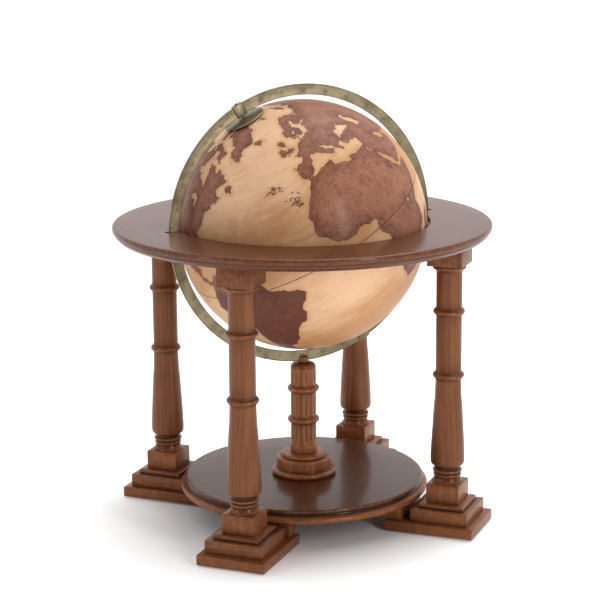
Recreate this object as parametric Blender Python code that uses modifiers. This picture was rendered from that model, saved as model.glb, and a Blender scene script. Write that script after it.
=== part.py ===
"""A globe on a four-post stand: horizon ring, brass meridian, turned posts and a round shelf.

Frame: metres, +Z up, origin on the floor under the globe's centre. The meridian ring stands in the XZ
plane and the north pole leans towards -X. The posts stand on the diagonals between X and Y.
"""

import math

import bmesh
import bpy
from mathutils import Matrix, Vector

# Driving dimensions
GAP = 0.0003                 # left between pieces that touch
GLOBE_R = 0.200
GLOBE_Z = 0.480
POLE_LEAN = math.radians(29)  # of the north pole from straight up

MERIDIAN_IN, MERIDIAN_OUT, MERIDIAN_T = 0.2083, 0.2256, 0.0040
RING_TOP, RING_BOTTOM = 0.486, 0.4665
RING_R, RING_FOOT_R, RING_HOLE_R = 0.3035, 0.294, 0.2050
RING_LIP = 0.0095            # height of the ring's upright edge
NOTCH_R = 0.006              # half width of the notches that the meridian passes through

POST_AT = 0.2474             # radius on which the posts stand
POST_TURNS = [math.radians(angle) for angle in (-135, -45, 45, 135)]
ABACUS_HALF, ABACUS_LOW = 0.0285, 0.4330
BLOCK_HALF, BLOCK_LOW, BLOCK_TOP = 0.027, 0.0472, 0.0778
SHAFT_R, BEAD_R = 0.0204, 0.025
BEAD_HEIGHTS = (0.3578, 0.2545)

FELT_T, FELT_R = 0.002, 0.014
SLAB_TOP, SLAB_HALF = 0.0190, 0.0562
SLAB_FAR, SLAB_NEAR = 0.3058, 0.1604
STEP_HALF, STEP_TOP = 0.0472, 0.0400
TREAD_HALF, TREAD_TOP = 0.0370, 0.0469
PAD_FAR, PAD_HALF = 0.1860, 0.0500

SHELF_R, SHELF_RIM, SHELF_LOW, SHELF_TOP = 0.195, 0.2025, 0.0430, 0.0645
SEAT_R, SEAT_DEPTH = 0.0560, 0.0010  # the shallow seat in the shelf that the middle base stands in
DRUM_R, FOOT_RING_R, COLLAR_SEAT_R = 0.045, 0.0533, 0.0368
BASE_TOP = 0.1003
COLUMN_R, COLUMN_TOP = 0.0209, 0.2440
COLUMN_BEADS = (0.2085, 0.1560)
NUB_R, NUB_TOP = 0.0085, 0.2635
SLOT_HALF = 0.0025

SHELL_T = 0.003
DIAL_R, DIAL_LOW, DIAL_T = 0.033, 0.2026, 0.0014
PIN_R = 0.0012
BUSH_R = 0.006
CLIP_LENGTH, CLIP_HALF, CLIP_OVER = 0.017, 0.005, 0.0016
BOLT_R = 0.003
DOWEL_R, DOWEL_LOW, DOWEL_HIGH = 0.0048, 0.452, 0.476

WALNUT = ("walnut", (0.19, 0.075, 0.035), 0.35, 0.0)
BRASS = ("aged_brass", (0.50, 0.40, 0.20), 0.35, 1.0)
STEEL = ("steel", (0.55, 0.55, 0.56), 0.35, 1.0)
MAP = ("globe_paper", (0.72, 0.50, 0.33), 0.55, 0.0)
FELT = ("felt", (0.10, 0.16, 0.11), 0.95, 0.0)
BEECH = ("dowel_beech", (0.62, 0.42, 0.25), 0.6, 0.0)
CARD = ("band_card", (0.45, 0.35, 0.24), 0.9, 0.0)


# ---------------------------------------------------------------- scene and materials
def clear_scene():
    for obj in list(bpy.data.objects):
        bpy.data.objects.remove(obj, do_unlink=True)


def new_collection(name):
    group = bpy.data.collections.new(name)
    bpy.context.scene.collection.children.link(group)
    return group


def finish_of(name, colour, roughness, metallic):
    """The Principled material of this name, made once."""
    found = bpy.data.materials.get(name)
    if found:
        return found
    made = bpy.data.materials.new(name)
    made.use_nodes = True
    shader = made.node_tree.nodes["Principled BSDF"]
    shader.inputs["Base Color"].default_value = (*colour, 1)
    shader.inputs["Roughness"].default_value = roughness
    shader.inputs["Metallic"].default_value = metallic
    made.diffuse_color = (*colour, 1)
    return made


def add_part(name, mesh, finish, place=None, parent=None):
    """A named part in the object's collection. place is its matrix, under the parent if there is one."""
    obj = bpy.data.objects.new(name, mesh)
    obj.data.materials.clear()
    obj.data.materials.append(finish_of(*finish))
    PARTS.objects.link(obj)
    obj.parent = parent
    obj.matrix_local = place or Matrix()
    return obj


def add_tool(name, mesh, place=None, parent=None):
    """A shape that only cuts or joins others, kept out of the render."""
    obj = bpy.data.objects.new(name, mesh)
    TOOLS.objects.link(obj)
    obj.parent = parent
    obj.matrix_local = place or Matrix()
    obj.hide_render = True
    obj.display_type = "WIRE"
    return obj


def add_pivot(name, place):
    """An empty on a joint's axis, which the moving pieces hang from."""
    pivot = bpy.data.objects.new(name, None)
    PARTS.objects.link(pivot)
    pivot.matrix_world = place
    return pivot


def boolean(obj, tool, operation="DIFFERENCE"):
    step = obj.modifiers.new(operation.title(), "BOOLEAN")
    step.operation = operation
    step.solver = "EXACT"
    step.object = tool


# ---------------------------------------------------------------- shapes
def arc(centre, radius, start, end, count):
    """Points (x, z) along a circle's arc, its angles in degrees from +X towards +Z."""
    x, z = centre
    turns = [math.radians(start + (end - start) * i / (count - 1)) for i in range(count)]
    return [(x + radius * math.cos(turn), z + radius * math.sin(turn)) for turn in turns]


def bead(height, low_r, high_r, half=0.0055, parts=4):
    """A half-round bead on a shaft, as points that run downwards."""
    turns = [math.pi * i / parts for i in range(parts + 1)]
    return [(low_r + (high_r - low_r) * math.sin(t), height + half * math.cos(t)) for t in turns]


def turned_mesh(name, outline, steps, closed=False):
    """A mesh turned about Z from (radius, height) points that run down the outer side."""
    made = bpy.data.meshes.new(name)
    points = [(x, 0, z) for x, z in outline]
    edges = [(i, i + 1) for i in range(len(points) - 1)]
    if closed:
        edges.append((len(points) - 1, 0))
    made.from_pydata(points, edges, [])
    holder = bpy.data.objects.new(name + "_profile", made)
    TOOLS.objects.link(holder)
    screw = holder.modifiers.new("Screw", "SCREW")
    screw.angle = math.tau
    screw.steps = screw.render_steps = steps
    screw.use_merge_vertices = True
    screw.merge_threshold = 0.0001
    bpy.context.view_layer.update()
    graph = bpy.context.evaluated_depsgraph_get()
    turned = bpy.data.meshes.new_from_object(holder.evaluated_get(graph))
    bpy.data.objects.remove(holder, do_unlink=True)
    bpy.data.meshes.remove(made)
    turned.name = name
    turned.shade_smooth()
    turned.set_sharp_from_angle(angle=math.radians(35))
    return turned


def box_mesh(name, low, high):
    bm = bmesh.new()
    bmesh.ops.create_cube(bm, size=1)
    size = Vector(high) - Vector(low)
    middle = (Vector(high) + Vector(low)) / 2
    place = Matrix.Translation(middle) @ Matrix.Diagonal((*size, 1))
    bmesh.ops.transform(bm, matrix=place, verts=bm.verts)
    made = bpy.data.meshes.new(name)
    bm.to_mesh(made)
    bm.free()
    return made


def rod_mesh(name, radius, low, high, sides=16):
    """A cylinder on Z between two heights."""
    bm = bmesh.new()
    bmesh.ops.create_cone(
        bm, cap_ends=True, segments=sides, radius1=radius, radius2=radius, depth=high - low
    )
    bmesh.ops.translate(bm, vec=(0, 0, (high + low) / 2), verts=bm.verts)
    made = bpy.data.meshes.new(name)
    bm.to_mesh(made)
    bm.free()
    made.shade_smooth()
    made.set_sharp_from_angle(angle=math.radians(35))
    return made


def stadium_mesh(name, radius, run, low, high):
    """An upright cutter with two round ends, reaching from x = 0 to x = run."""
    made = rod_mesh(name, radius, low, high)
    for vertex in made.vertices:
        if vertex.co.x > 0:
            vertex.co.x += run
    return made


def soften(obj, width, segments=2):
    bevel = obj.modifiers.new("Bevel", "BEVEL")
    bevel.width = width
    bevel.segments = segments
    bevel.limit_method = "ANGLE"
    bevel.angle_limit = math.radians(50)


def around(turn):
    return Matrix.Rotation(turn, 4, "Z")


def post_place(turn):
    """Where a post stands: local +X points outwards, away from the stand's middle."""
    return around(turn) @ Matrix.Translation((POST_AT, 0, 0))


# ---------------------------------------------------------------- stand
def horizon_ring():
    lip_low = RING_TOP - RING_LIP
    outline = [(RING_R - 0.003, RING_TOP)]
    outline += arc((RING_R - 0.003, RING_TOP - 0.003), 0.003, 45, 0, 2)
    outline += [(RING_R, lip_low + 0.0015), (RING_R - 0.0015, lip_low)]
    outline += [(RING_R - 0.003, lip_low), (RING_R - 0.003, lip_low - 0.0013)]
    outline += arc((RING_FOOT_R, lip_low - 0.0013), 0.0063, 0, -75, 4)
    outline += [(RING_FOOT_R, RING_BOTTOM)]
    outline += [(RING_HOLE_R, RING_BOTTOM), (RING_HOLE_R, RING_TOP)]
    ring = add_part("horizon_ring", turned_mesh("horizon_ring", outline, 64, closed=True), WALNUT)
    run = MERIDIAN_OUT - RING_HOLE_R
    notch = stadium_mesh("notch", NOTCH_R, run, RING_BOTTOM - 0.01, RING_TOP + 0.01)
    for turn in (0, math.pi):
        place = around(turn) @ Matrix.Translation((RING_HOLE_R, 0, 0))
        boolean(ring, add_tool("notch_cutter", notch, place))
    for turn in POST_TURNS:
        boolean(ring, add_tool("ring_dowel_hole", DOWEL_HOLE, post_place(turn)))
    return ring


def post_outline():
    """Down the turned part of a post, from inside its top square to inside its bottom square."""
    top = [(0, 0.440), (0.0255, 0.440), (0.0255, 0.4270)]
    top += arc((0.0266, 0.4198), 0.0064, 110, 185, 3)
    shaft = [(SHAFT_R, 0.366)] + bead(BEAD_HEIGHTS[0], SHAFT_R, BEAD_R)
    shaft += bead(BEAD_HEIGHTS[1], SHAFT_R, BEAD_R)
    swell = [(0.0212, 0.2200), (0.0226, 0.2050), (0.0264, 0.1400), (0.0271, 0.1240)]
    swell += arc((0.0211, 0.1125), 0.0060, 10, -70, 3)
    neck = [(0.0200, 0.1040), (0.0200, 0.1012)]
    rings = bead(0.0975, 0.0205, 0.0245, 0.0030, 3) + bead(0.0905, 0.0205, 0.0230, 0.0030, 3)
    foot = [(0.0215, 0.0850), (0.0242, 0.0795), (0.0242, 0.070), (0, 0.070)]
    return top + shaft + swell + neck + rings + foot


def post(number, turn):
    """One turned post with its square top and its square foot block, all one piece of wood."""
    made = add_part(f"post_{number}", turned_mesh("post", post_outline(), 16), WALNUT, post_place(turn))
    boolean(made, add_tool("post_square", ABACUS, post_place(turn)), "UNION")
    boolean(made, add_tool("post_square", BLOCK, post_place(turn)), "UNION")
    boolean(made, add_tool("post_dowel_hole", DOWEL_HOLE, post_place(turn)))
    boolean(made, add_tool("post_bolt_hole", POST_BOLT_HOLE, post_place(turn)))


def ring_dowel(number, turn):
    mesh = rod_mesh("ring_dowel", DOWEL_R, DOWEL_LOW + GAP, DOWEL_HIGH - GAP, 12)
    add_part(f"ring_dowel_{number}", mesh, BEECH, post_place(turn))


def foot_slab(number, turn):
    """The long flat foot, which runs from outside the post to under the shelf."""
    mesh = box_mesh("foot_slab", (SLAB_NEAR, -SLAB_HALF, FELT_T + GAP), (SLAB_FAR, SLAB_HALF, SLAB_TOP))
    slab = add_part(f"foot_slab_{number}", mesh, WALNUT, around(turn))
    soften(slab, 0.0018)
    boolean(slab, add_tool("slab_bolt_hole", POST_BOLT_HOLE, post_place(turn)))
    boolean(slab, add_tool("slab_bolt_seat", POST_BOLT_SEAT, post_place(turn)))
    boolean(slab, add_tool("slab_screw_hole", SHELF_SCREW_HOLE, pad_place(turn)))
    boolean(slab, add_tool("slab_screw_seat", SHELF_SCREW_SEAT, pad_place(turn)))


def foot_plinth(number, turn):
    """The square step with a thinner, smaller tread on top, under the post's block."""
    low, high = SLAB_TOP + GAP, STEP_TOP
    step = box_mesh("plinth_step", (-STEP_HALF, -STEP_HALF, low), (STEP_HALF, STEP_HALF, high))
    tread_low, tread_high = (-TREAD_HALF, -TREAD_HALF, high - 0.005), (TREAD_HALF, TREAD_HALF, TREAD_TOP)
    tread = box_mesh("plinth_tread", tread_low, tread_high)
    plinth = add_part(f"foot_plinth_{number}", step, WALNUT, post_place(turn))
    boolean(plinth, add_tool("plinth_tread", tread, post_place(turn)), "UNION")
    soften(plinth, 0.0015, 1)
    boolean(plinth, add_tool("plinth_bolt_hole", POST_BOLT_HOLE, post_place(turn)))


def post_bolt(number, turn):
    """The bolt that holds slab, plinth and post together, driven up from below."""
    outline = [(0, 0.070), (BOLT_R * 0.5, 0.070), (BOLT_R, 0.067), (BOLT_R, 0.0085)]
    outline += [(0.0065, 0.0085), (0.0070, 0.0080), (0.0070, 0.0050), (0.0060, 0.0045), (0, 0.0045)]
    add_part(f"post_bolt_{number}", turned_mesh("post_bolt", outline, 8), STEEL, post_place(turn))


def pad_place(turn):
    return around(turn) @ Matrix.Translation(((PAD_FAR + SLAB_NEAR) / 2, 0, 0))


def shelf_pad(number, turn):
    """The block on the inner end of a foot slab, which carries the shelf."""
    low, high = (SLAB_NEAR, -PAD_HALF, SLAB_TOP + GAP), (PAD_FAR, PAD_HALF, SHELF_LOW - GAP)
    mesh = box_mesh("shelf_pad", low, high)
    pad = add_part(f"shelf_pad_{number}", mesh, WALNUT, around(turn))
    soften(pad, 0.001, 1)
    boolean(pad, add_tool("pad_screw_hole", SHELF_SCREW_HOLE, pad_place(turn)))


def shelf_screw(number, turn):
    """The screw that goes up through a slab and its pad into the shelf."""
    outline = [(0, 0.057), (BOLT_R * 0.5, 0.056), (BOLT_R, 0.052), (BOLT_R, 0.0085)]
    outline += [(0.0060, 0.0075), (0.0060, 0.0050), (0, 0.0050)]
    add_part(f"shelf_screw_{number}", turned_mesh("shelf_screw", outline, 8), STEEL, pad_place(turn))


def felt_pads():
    """Two felt pads under each foot slab, near its two ends."""
    mesh = rod_mesh("felt_pad", FELT_R, 0, FELT_T, 12)
    spots = [(turn, x) for turn in POST_TURNS for x in (SLAB_FAR - 0.024, SLAB_NEAR + 0.038)]
    for number, (turn, x) in enumerate(spots, 1):
        add_part(f"felt_pad_{number}", mesh.copy(), FELT, around(turn) @ Matrix.Translation((x, 0, 0)))


def shelf():
    """The round shelf, with a cove under its top edge and a round rim below that."""
    outline = [(0, SHELF_TOP - SEAT_DEPTH), (SEAT_R, SHELF_TOP - SEAT_DEPTH), (SEAT_R, SHELF_TOP)]
    outline += [(SHELF_R - 0.0025, SHELF_TOP)]
    outline += arc((SHELF_R - 0.0025, SHELF_TOP - 0.0025), 0.0025, 45, 0, 2)
    outline += [(SHELF_R, 0.0595), (SHELF_R - 0.004, 0.0570), (SHELF_R - 0.0025, 0.0545)]
    outline += arc((SHELF_RIM - 0.0058, 0.0488), 0.0058, 75, -75, 4)
    outline += [(SHELF_R, SHELF_LOW), (0, SHELF_LOW)]
    made = add_part("shelf", turned_mesh("shelf", outline, 56), WALNUT)
    for turn in POST_TURNS:
        boolean(made, add_tool("shelf_screw_hole", SHELF_SCREW_HOLE, pad_place(turn)))
    boolean(made, add_tool("shelf_bolt_hole", CENTRE_HOLE))


def centre_base():
    """The turned foot of the middle column: a round foot ring, a drum and a seat for the collar."""
    low = SHELF_TOP - SEAT_DEPTH + GAP
    outline = [(0, BASE_TOP), (COLLAR_SEAT_R - 0.002, BASE_TOP), (COLLAR_SEAT_R, BASE_TOP - 0.002)]
    outline += [(COLLAR_SEAT_R, 0.0945), (DRUM_R - 0.004, 0.0940)]
    outline += arc((DRUM_R - 0.003, 0.0900), 0.003, 60, 0, 2)
    outline += [(DRUM_R, 0.0765), (DRUM_R - 0.001, 0.0745)]
    outline += arc((FOOT_RING_R - 0.0045, SHELF_TOP + 0.0048), 0.0045, 75, -75, 4)
    outline += [(FOOT_RING_R - 0.005, low), (0, low)]
    made = add_part("centre_base", turned_mesh("centre_base", outline, 28), WALNUT)
    boolean(made, add_tool("base_bolt_hole", CENTRE_HOLE))


def centre_column():
    low = BASE_TOP + GAP
    outline = [(0, COLUMN_TOP), (COLUMN_R - 0.0005, COLUMN_TOP), (COLUMN_R, COLUMN_TOP - 0.001)]
    for height in COLUMN_BEADS:
        outline += bead(height, COLUMN_R, BEAD_R + 0.001)
    outline += [(COLUMN_R, 0.1145), (0.0222, 0.1115), (0.0222, low + 0.002), (0.0210, low), (0, low)]
    made = add_part("centre_column", turned_mesh("centre_column", outline, 20), WALNUT)
    boolean(made, add_tool("column_bolt_hole", CENTRE_HOLE))


def saddle_cap():
    """The rounded top of the middle column, with a slot in its nub for the meridian ring."""
    low = COLUMN_TOP + GAP
    outline = [(0, NUB_TOP), (NUB_R - 0.004, NUB_TOP - 0.0005)]
    outline += arc((NUB_R - 0.003, NUB_TOP - 0.004), 0.003, 50, 0, 2)
    outline += [(NUB_R, 0.2535), (NUB_R + 0.002, 0.2525)]
    outline += arc((COLUMN_R - 0.0075, low), 0.0075, 75, 0, 4)
    outline += [(0, low)]
    cap = add_part("saddle_cap", turned_mesh("saddle_cap", outline, 20), WALNUT)
    floor = GLOBE_Z - MERIDIAN_OUT - 3 * GAP - 0.0008
    slot = box_mesh("saddle_slot", (-0.03, -SLOT_HALF, floor), (0.03, SLOT_HALF, NUB_TOP + 0.01))
    boolean(cap, add_tool("saddle_slot", slot))
    liner = box_mesh(
        "saddle_felt",
        (-NUB_R + 0.001, -SLOT_HALF + GAP, floor + GAP),
        (NUB_R - 0.001, SLOT_HALF - GAP, floor + GAP + 0.0008),
    )
    add_part("saddle_felt", liner, FELT)


def centre_bolt():
    """The long bolt that clamps shelf, base and column together, with its washer."""
    washer_low = SHELF_LOW - GAP - 0.0016
    outline = [(0, 0.200), (BOLT_R, 0.199), (BOLT_R + 0.001, 0.197), (BOLT_R + 0.001, washer_low - GAP)]
    outline += [(0.0085, washer_low - GAP), (0.0090, washer_low - 0.001), (0.0090, washer_low - 0.006)]
    outline += [(0.0080, washer_low - 0.007), (0, washer_low - 0.007)]
    add_part("centre_bolt", turned_mesh("centre_bolt", outline, 8), STEEL)
    high = SHELF_LOW - GAP
    ring = [(0.014, high), (0.014, washer_low), (0.0047, washer_low), (0.0047, high)]
    add_part("centre_washer", turned_mesh("centre_washer", ring, 16, closed=True), STEEL)


# ---------------------------------------------------------------- meridian
def upright_ring(name, inner, outer, half, steps=72):
    """A flat ring that stands in the XZ plane about the origin."""
    outline = [(outer, half), (outer, -half), (inner, -half), (inner, half)]
    made = turned_mesh(name, outline, steps, closed=True)
    made.transform(Matrix.Rotation(math.pi / 2, 4, "X"))
    return made


def pole_turn(south):
    """Turns local +Z to the north pole's direction, or to the south pole's."""
    return Matrix.Rotation(-POLE_LEAN + (math.pi if south else 0), 4, "Y")


def meridian(pivot):
    half = MERIDIAN_T / 2
    shape = upright_ring("meridian_ring", MERIDIAN_IN, MERIDIAN_OUT, half)
    ring = add_part("meridian_ring", shape, BRASS, parent=pivot)
    groove = upright_ring("clip_groove", MERIDIAN_IN - GAP, MERIDIAN_OUT + GAP, half + GAP)
    for side, south in (("north", False), ("south", True)):
        place = pole_turn(south)
        boolean(ring, add_tool("ring_pin_hole", PIN_HOLE, place, pivot))
        low, high = MERIDIAN_IN - CLIP_OVER, MERIDIAN_OUT + CLIP_OVER
        corner = (CLIP_LENGTH / 2, CLIP_HALF)
        block = box_mesh("pole_clip", (-corner[0], -corner[1], low), (*corner, high))
        clip = add_part(f"pole_clip_{side}", block, BRASS, place, pivot)
        soften(clip, 0.0007, 1)
        boolean(clip, add_tool("clip_groove_cutter", groove, parent=pivot))
        boolean(clip, add_tool("clip_pin_hole", PIN_HOLE, place, pivot))
        outline = [(0, high + 0.0022), (0.0022, high + 0.0017), (0.0034, high + GAP), (PIN_R, high + GAP)]
        outline += [(PIN_R, 0.1905), (PIN_R * 0.6, 0.1895), (0, 0.1895)]
        add_part(f"pole_pin_{side}", turned_mesh("pole_pin", outline, 12), BRASS, place, pivot)


def hour_dial(pivot):
    """A thin brass cap over the north pole, concentric with the globe."""
    low, high = DIAL_LOW, DIAL_LOW + DIAL_T
    hole = math.degrees(math.asin((PIN_R + 2 * GAP) / low))
    edge = math.degrees(math.asin(DIAL_R / low))
    outline = arc((0, 0), high, 90 - hole, 90 - edge, 4) + arc((0, 0), low, 90 - edge, 90 - hole, 4)
    add_part("hour_dial", turned_mesh("hour_dial", outline, 32, closed=True), BRASS, parent=pivot)


# ---------------------------------------------------------------- globe
def half_shell(side, south, pivot):
    """One hemisphere of the globe, with the hole at its pole."""
    inner = GLOBE_R - SHELL_T
    hole = math.degrees(math.asin(BUSH_R / GLOBE_R))
    rim = math.degrees(math.asin(GAP / 2 / GLOBE_R))
    outline = arc((0, 0), GLOBE_R, 90 - hole, rim, 11) + arc((0, 0), inner, rim, 90 - hole, 8)
    turned = turned_mesh("globe_half", outline, 36, closed=True)
    add_part(f"globe_{side}_half", turned, MAP, Matrix.Rotation(math.pi if south else 0, 4, "X"), pivot)


def equator_band(pivot):
    """The ring glued inside both halves where they meet."""
    outer = GLOBE_R - SHELL_T - 2 * GAP
    outline = [(outer - 0.0004, 0.009), (outer, 0), (outer - 0.0004, -0.009)]
    outline += [(outer - 0.003, -0.009), (outer - 0.003, 0.009)]
    add_part("equator_band", turned_mesh("equator_band", outline, 36, closed=True), CARD, parent=pivot)


def pole_bush(side, south, pivot):
    """The flanged bush in a half's pole hole, which runs on the pin."""
    outline = [(0.009, GLOBE_R + 0.0013), (0.009, GLOBE_R + GAP), (BUSH_R - GAP, GLOBE_R + GAP)]
    outline += [(BUSH_R - GAP, 0.1930), (PIN_R + GAP, 0.1930), (PIN_R + GAP, GLOBE_R + 0.0013)]
    place = Matrix.Rotation(math.pi if south else 0, 4, "X")
    add_part(f"pole_bush_{side}", turned_mesh("pole_bush", outline, 12, closed=True), BRASS, place, pivot)


# ---------------------------------------------------------------- assembly
def stand():
    horizon_ring()
    for number, turn in enumerate(POST_TURNS, 1):
        for piece in (post, ring_dowel, foot_slab, foot_plinth, post_bolt, shelf_pad, shelf_screw):
            piece(number, turn)
    felt_pads()
    shelf()
    centre_base()
    centre_column()
    saddle_cap()
    centre_bolt()


def globe_and_meridian():
    centre = Matrix.Translation((0, 0, GLOBE_Z))
    meridian(add_pivot("meridian_pivot", centre))
    polar = centre @ pole_turn(False)
    hour_dial(add_pivot("hour_dial_pivot", polar))
    pivot = add_pivot("globe_pivot", polar)
    equator_band(pivot)
    for side, south in (("north", False), ("south", True)):
        half_shell(side, south, pivot)
        pole_bush(side, south, pivot)


clear_scene()
PARTS = new_collection("globe_on_stand")
TOOLS = new_collection("cutters")

DOWEL_HOLE = rod_mesh("dowel_hole", DOWEL_R + GAP, DOWEL_LOW, DOWEL_HIGH, 12)
ABACUS = box_mesh(
    "abacus",
    (-ABACUS_HALF, -ABACUS_HALF, ABACUS_LOW),
    (ABACUS_HALF, ABACUS_HALF, RING_BOTTOM - GAP),
)
BLOCK = box_mesh("block", (-BLOCK_HALF, -BLOCK_HALF, BLOCK_LOW), (BLOCK_HALF, BLOCK_HALF, BLOCK_TOP))
POST_BOLT_HOLE = rod_mesh("post_bolt_hole", BOLT_R + 2 * GAP, -0.001, 0.071, 12)
POST_BOLT_SEAT = rod_mesh("post_bolt_seat", 0.008, -0.001, 0.0090)
SHELF_SCREW_HOLE = rod_mesh("shelf_screw_hole", BOLT_R + 2 * GAP, -0.001, 0.058, 12)
SHELF_SCREW_SEAT = rod_mesh("shelf_screw_seat", 0.007, -0.001, 0.0090)
CENTRE_HOLE = rod_mesh("centre_hole", BOLT_R + 0.001 + 2 * GAP, 0.030, 0.202, 12)
PIN_HOLE = rod_mesh("pin_hole", PIN_R + GAP, 0.19, 0.24, 12)

stand()
globe_and_meridian()
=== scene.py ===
"""Fine surfaces and finishes for a globe on a four-post stand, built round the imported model.

Each sub-assembly is a class that holds its sizes, works its surfaces out as numpy grids and dresses them.
Frame: metres, +Z up, origin on the floor under the globe's centre. The north pole leans towards -X.
"""

import logging
import math
from collections.abc import Sequence
from dataclasses import dataclass
from enum import Enum

import bpy
import numpy as np
from mathutils import Matrix, Quaternion, Vector


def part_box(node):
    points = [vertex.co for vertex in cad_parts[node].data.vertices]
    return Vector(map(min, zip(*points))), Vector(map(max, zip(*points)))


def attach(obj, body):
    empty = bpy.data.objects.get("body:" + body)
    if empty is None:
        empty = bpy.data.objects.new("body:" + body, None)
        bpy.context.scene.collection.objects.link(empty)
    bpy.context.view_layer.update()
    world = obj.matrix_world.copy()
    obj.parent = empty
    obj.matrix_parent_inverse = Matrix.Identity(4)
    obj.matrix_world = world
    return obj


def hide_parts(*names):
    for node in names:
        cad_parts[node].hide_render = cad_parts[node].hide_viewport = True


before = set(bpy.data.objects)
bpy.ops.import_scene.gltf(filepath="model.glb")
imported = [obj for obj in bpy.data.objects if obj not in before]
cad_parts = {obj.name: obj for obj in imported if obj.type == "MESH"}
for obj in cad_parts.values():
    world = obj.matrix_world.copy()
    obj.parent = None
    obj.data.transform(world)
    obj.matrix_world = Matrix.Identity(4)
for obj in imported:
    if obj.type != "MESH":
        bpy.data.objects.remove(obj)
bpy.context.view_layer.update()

LOG = logging.getLogger("globe_on_stand")
SHARP_EDGE = math.radians(38)
EASED_CORNER, FOLDED_BACK = math.radians(22), math.radians(179)
CORNER_STEPS = 5
POLAR_LEAN = math.radians(29)
POST_ANGLES = (-135, -45, 45, 135)
Colour = tuple[float, float, float]
Value = "Signal | bpy.types.NodeSocket | float | Sequence[float]"


class Body(Enum):
    """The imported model's bodies."""

    STAND = "stand"
    MERIDIAN = "meridian"
    GLOBE = "globe"
    DIAL = "dial"


class Slot(Enum):
    """The record's material slots."""

    WALNUT = "walnut"
    BRASS = "aged_brass"
    PAPER = "globe_paper"
    FELT = "felt"


class Grain(Enum):
    """Where a wooden piece's grain runs."""

    OWN = "along the piece, from its grain attribute"
    SEGMENTS = "straight within each of the eight boards of a ring"


# ---------------------------------------------------------------- shader helpers
class Signal:
    """A number carried by a socket. Python's operators on it add the Math nodes that they stand for."""

    def __init__(self, plan: "Plan", socket: bpy.types.NodeSocket) -> None:
        """Keeps the socket and the plan that it belongs to."""
        self.plan = plan
        self.socket = socket

    def __add__(self, other: "Signal | float") -> "Signal":
        """self + other."""
        return self.plan.math("ADD", self, other)

    __radd__ = __add__

    def __sub__(self, other: "Signal | float") -> "Signal":
        """self - other."""
        return self.plan.math("SUBTRACT", self, other)

    def __rsub__(self, other: float) -> "Signal":
        """other - self."""
        return self.plan.math("SUBTRACT", other, self)

    def __mul__(self, other: "Signal | float") -> "Signal":
        """self * other."""
        return self.plan.math("MULTIPLY", self, other)

    __rmul__ = __mul__

    def __truediv__(self, other: "Signal | float") -> "Signal":
        """self / other."""
        return self.plan.math("DIVIDE", self, other)

    def __pow__(self, power: float) -> "Signal":
        """self to a power."""
        return self.plan.math("POWER", self, power)

    def __abs__(self) -> "Signal":
        """The size of self."""
        return self.plan.math("ABSOLUTE", self)

    def fract(self) -> "Signal":
        """What is left of self above the whole number below it."""
        return self.plan.math("FRACT", self)

    def floor(self) -> "Signal":
        """The whole number below self."""
        return self.plan.math("FLOOR", self)

    def sin(self) -> "Signal":
        """The sine of self in radians."""
        return self.plan.math("SINE", self)

    def cos(self) -> "Signal":
        """The cosine of self in radians."""
        return self.plan.math("COSINE", self)

    def least(self, other: "Signal | float") -> "Signal":
        """The smaller of self and other."""
        return self.plan.math("MINIMUM", self, other)

    def most(self, other: "Signal | float") -> "Signal":
        """The larger of self and other."""
        return self.plan.math("MAXIMUM", self, other)

    def step(self, start: float, end: float) -> "Signal":
        """A smooth step from 0 at start to 1 at end, or down from 1 where end is the smaller."""
        rising = {"interpolation_type": "SMOOTHSTEP"}
        node = self.plan.node("ShaderNodeMapRange", rising, {0: self, 1: start, 2: end})
        return Signal(self.plan, node.outputs[0])

    def near(self, every: float, half: float) -> "Signal":
        """1 within half of a multiple of every, and 0 beyond 1.6 times half."""
        off = abs((self / every + 0.5).fract() - 0.5) * every
        return off.step(1.6 * half, 0.4 * half)


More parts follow.
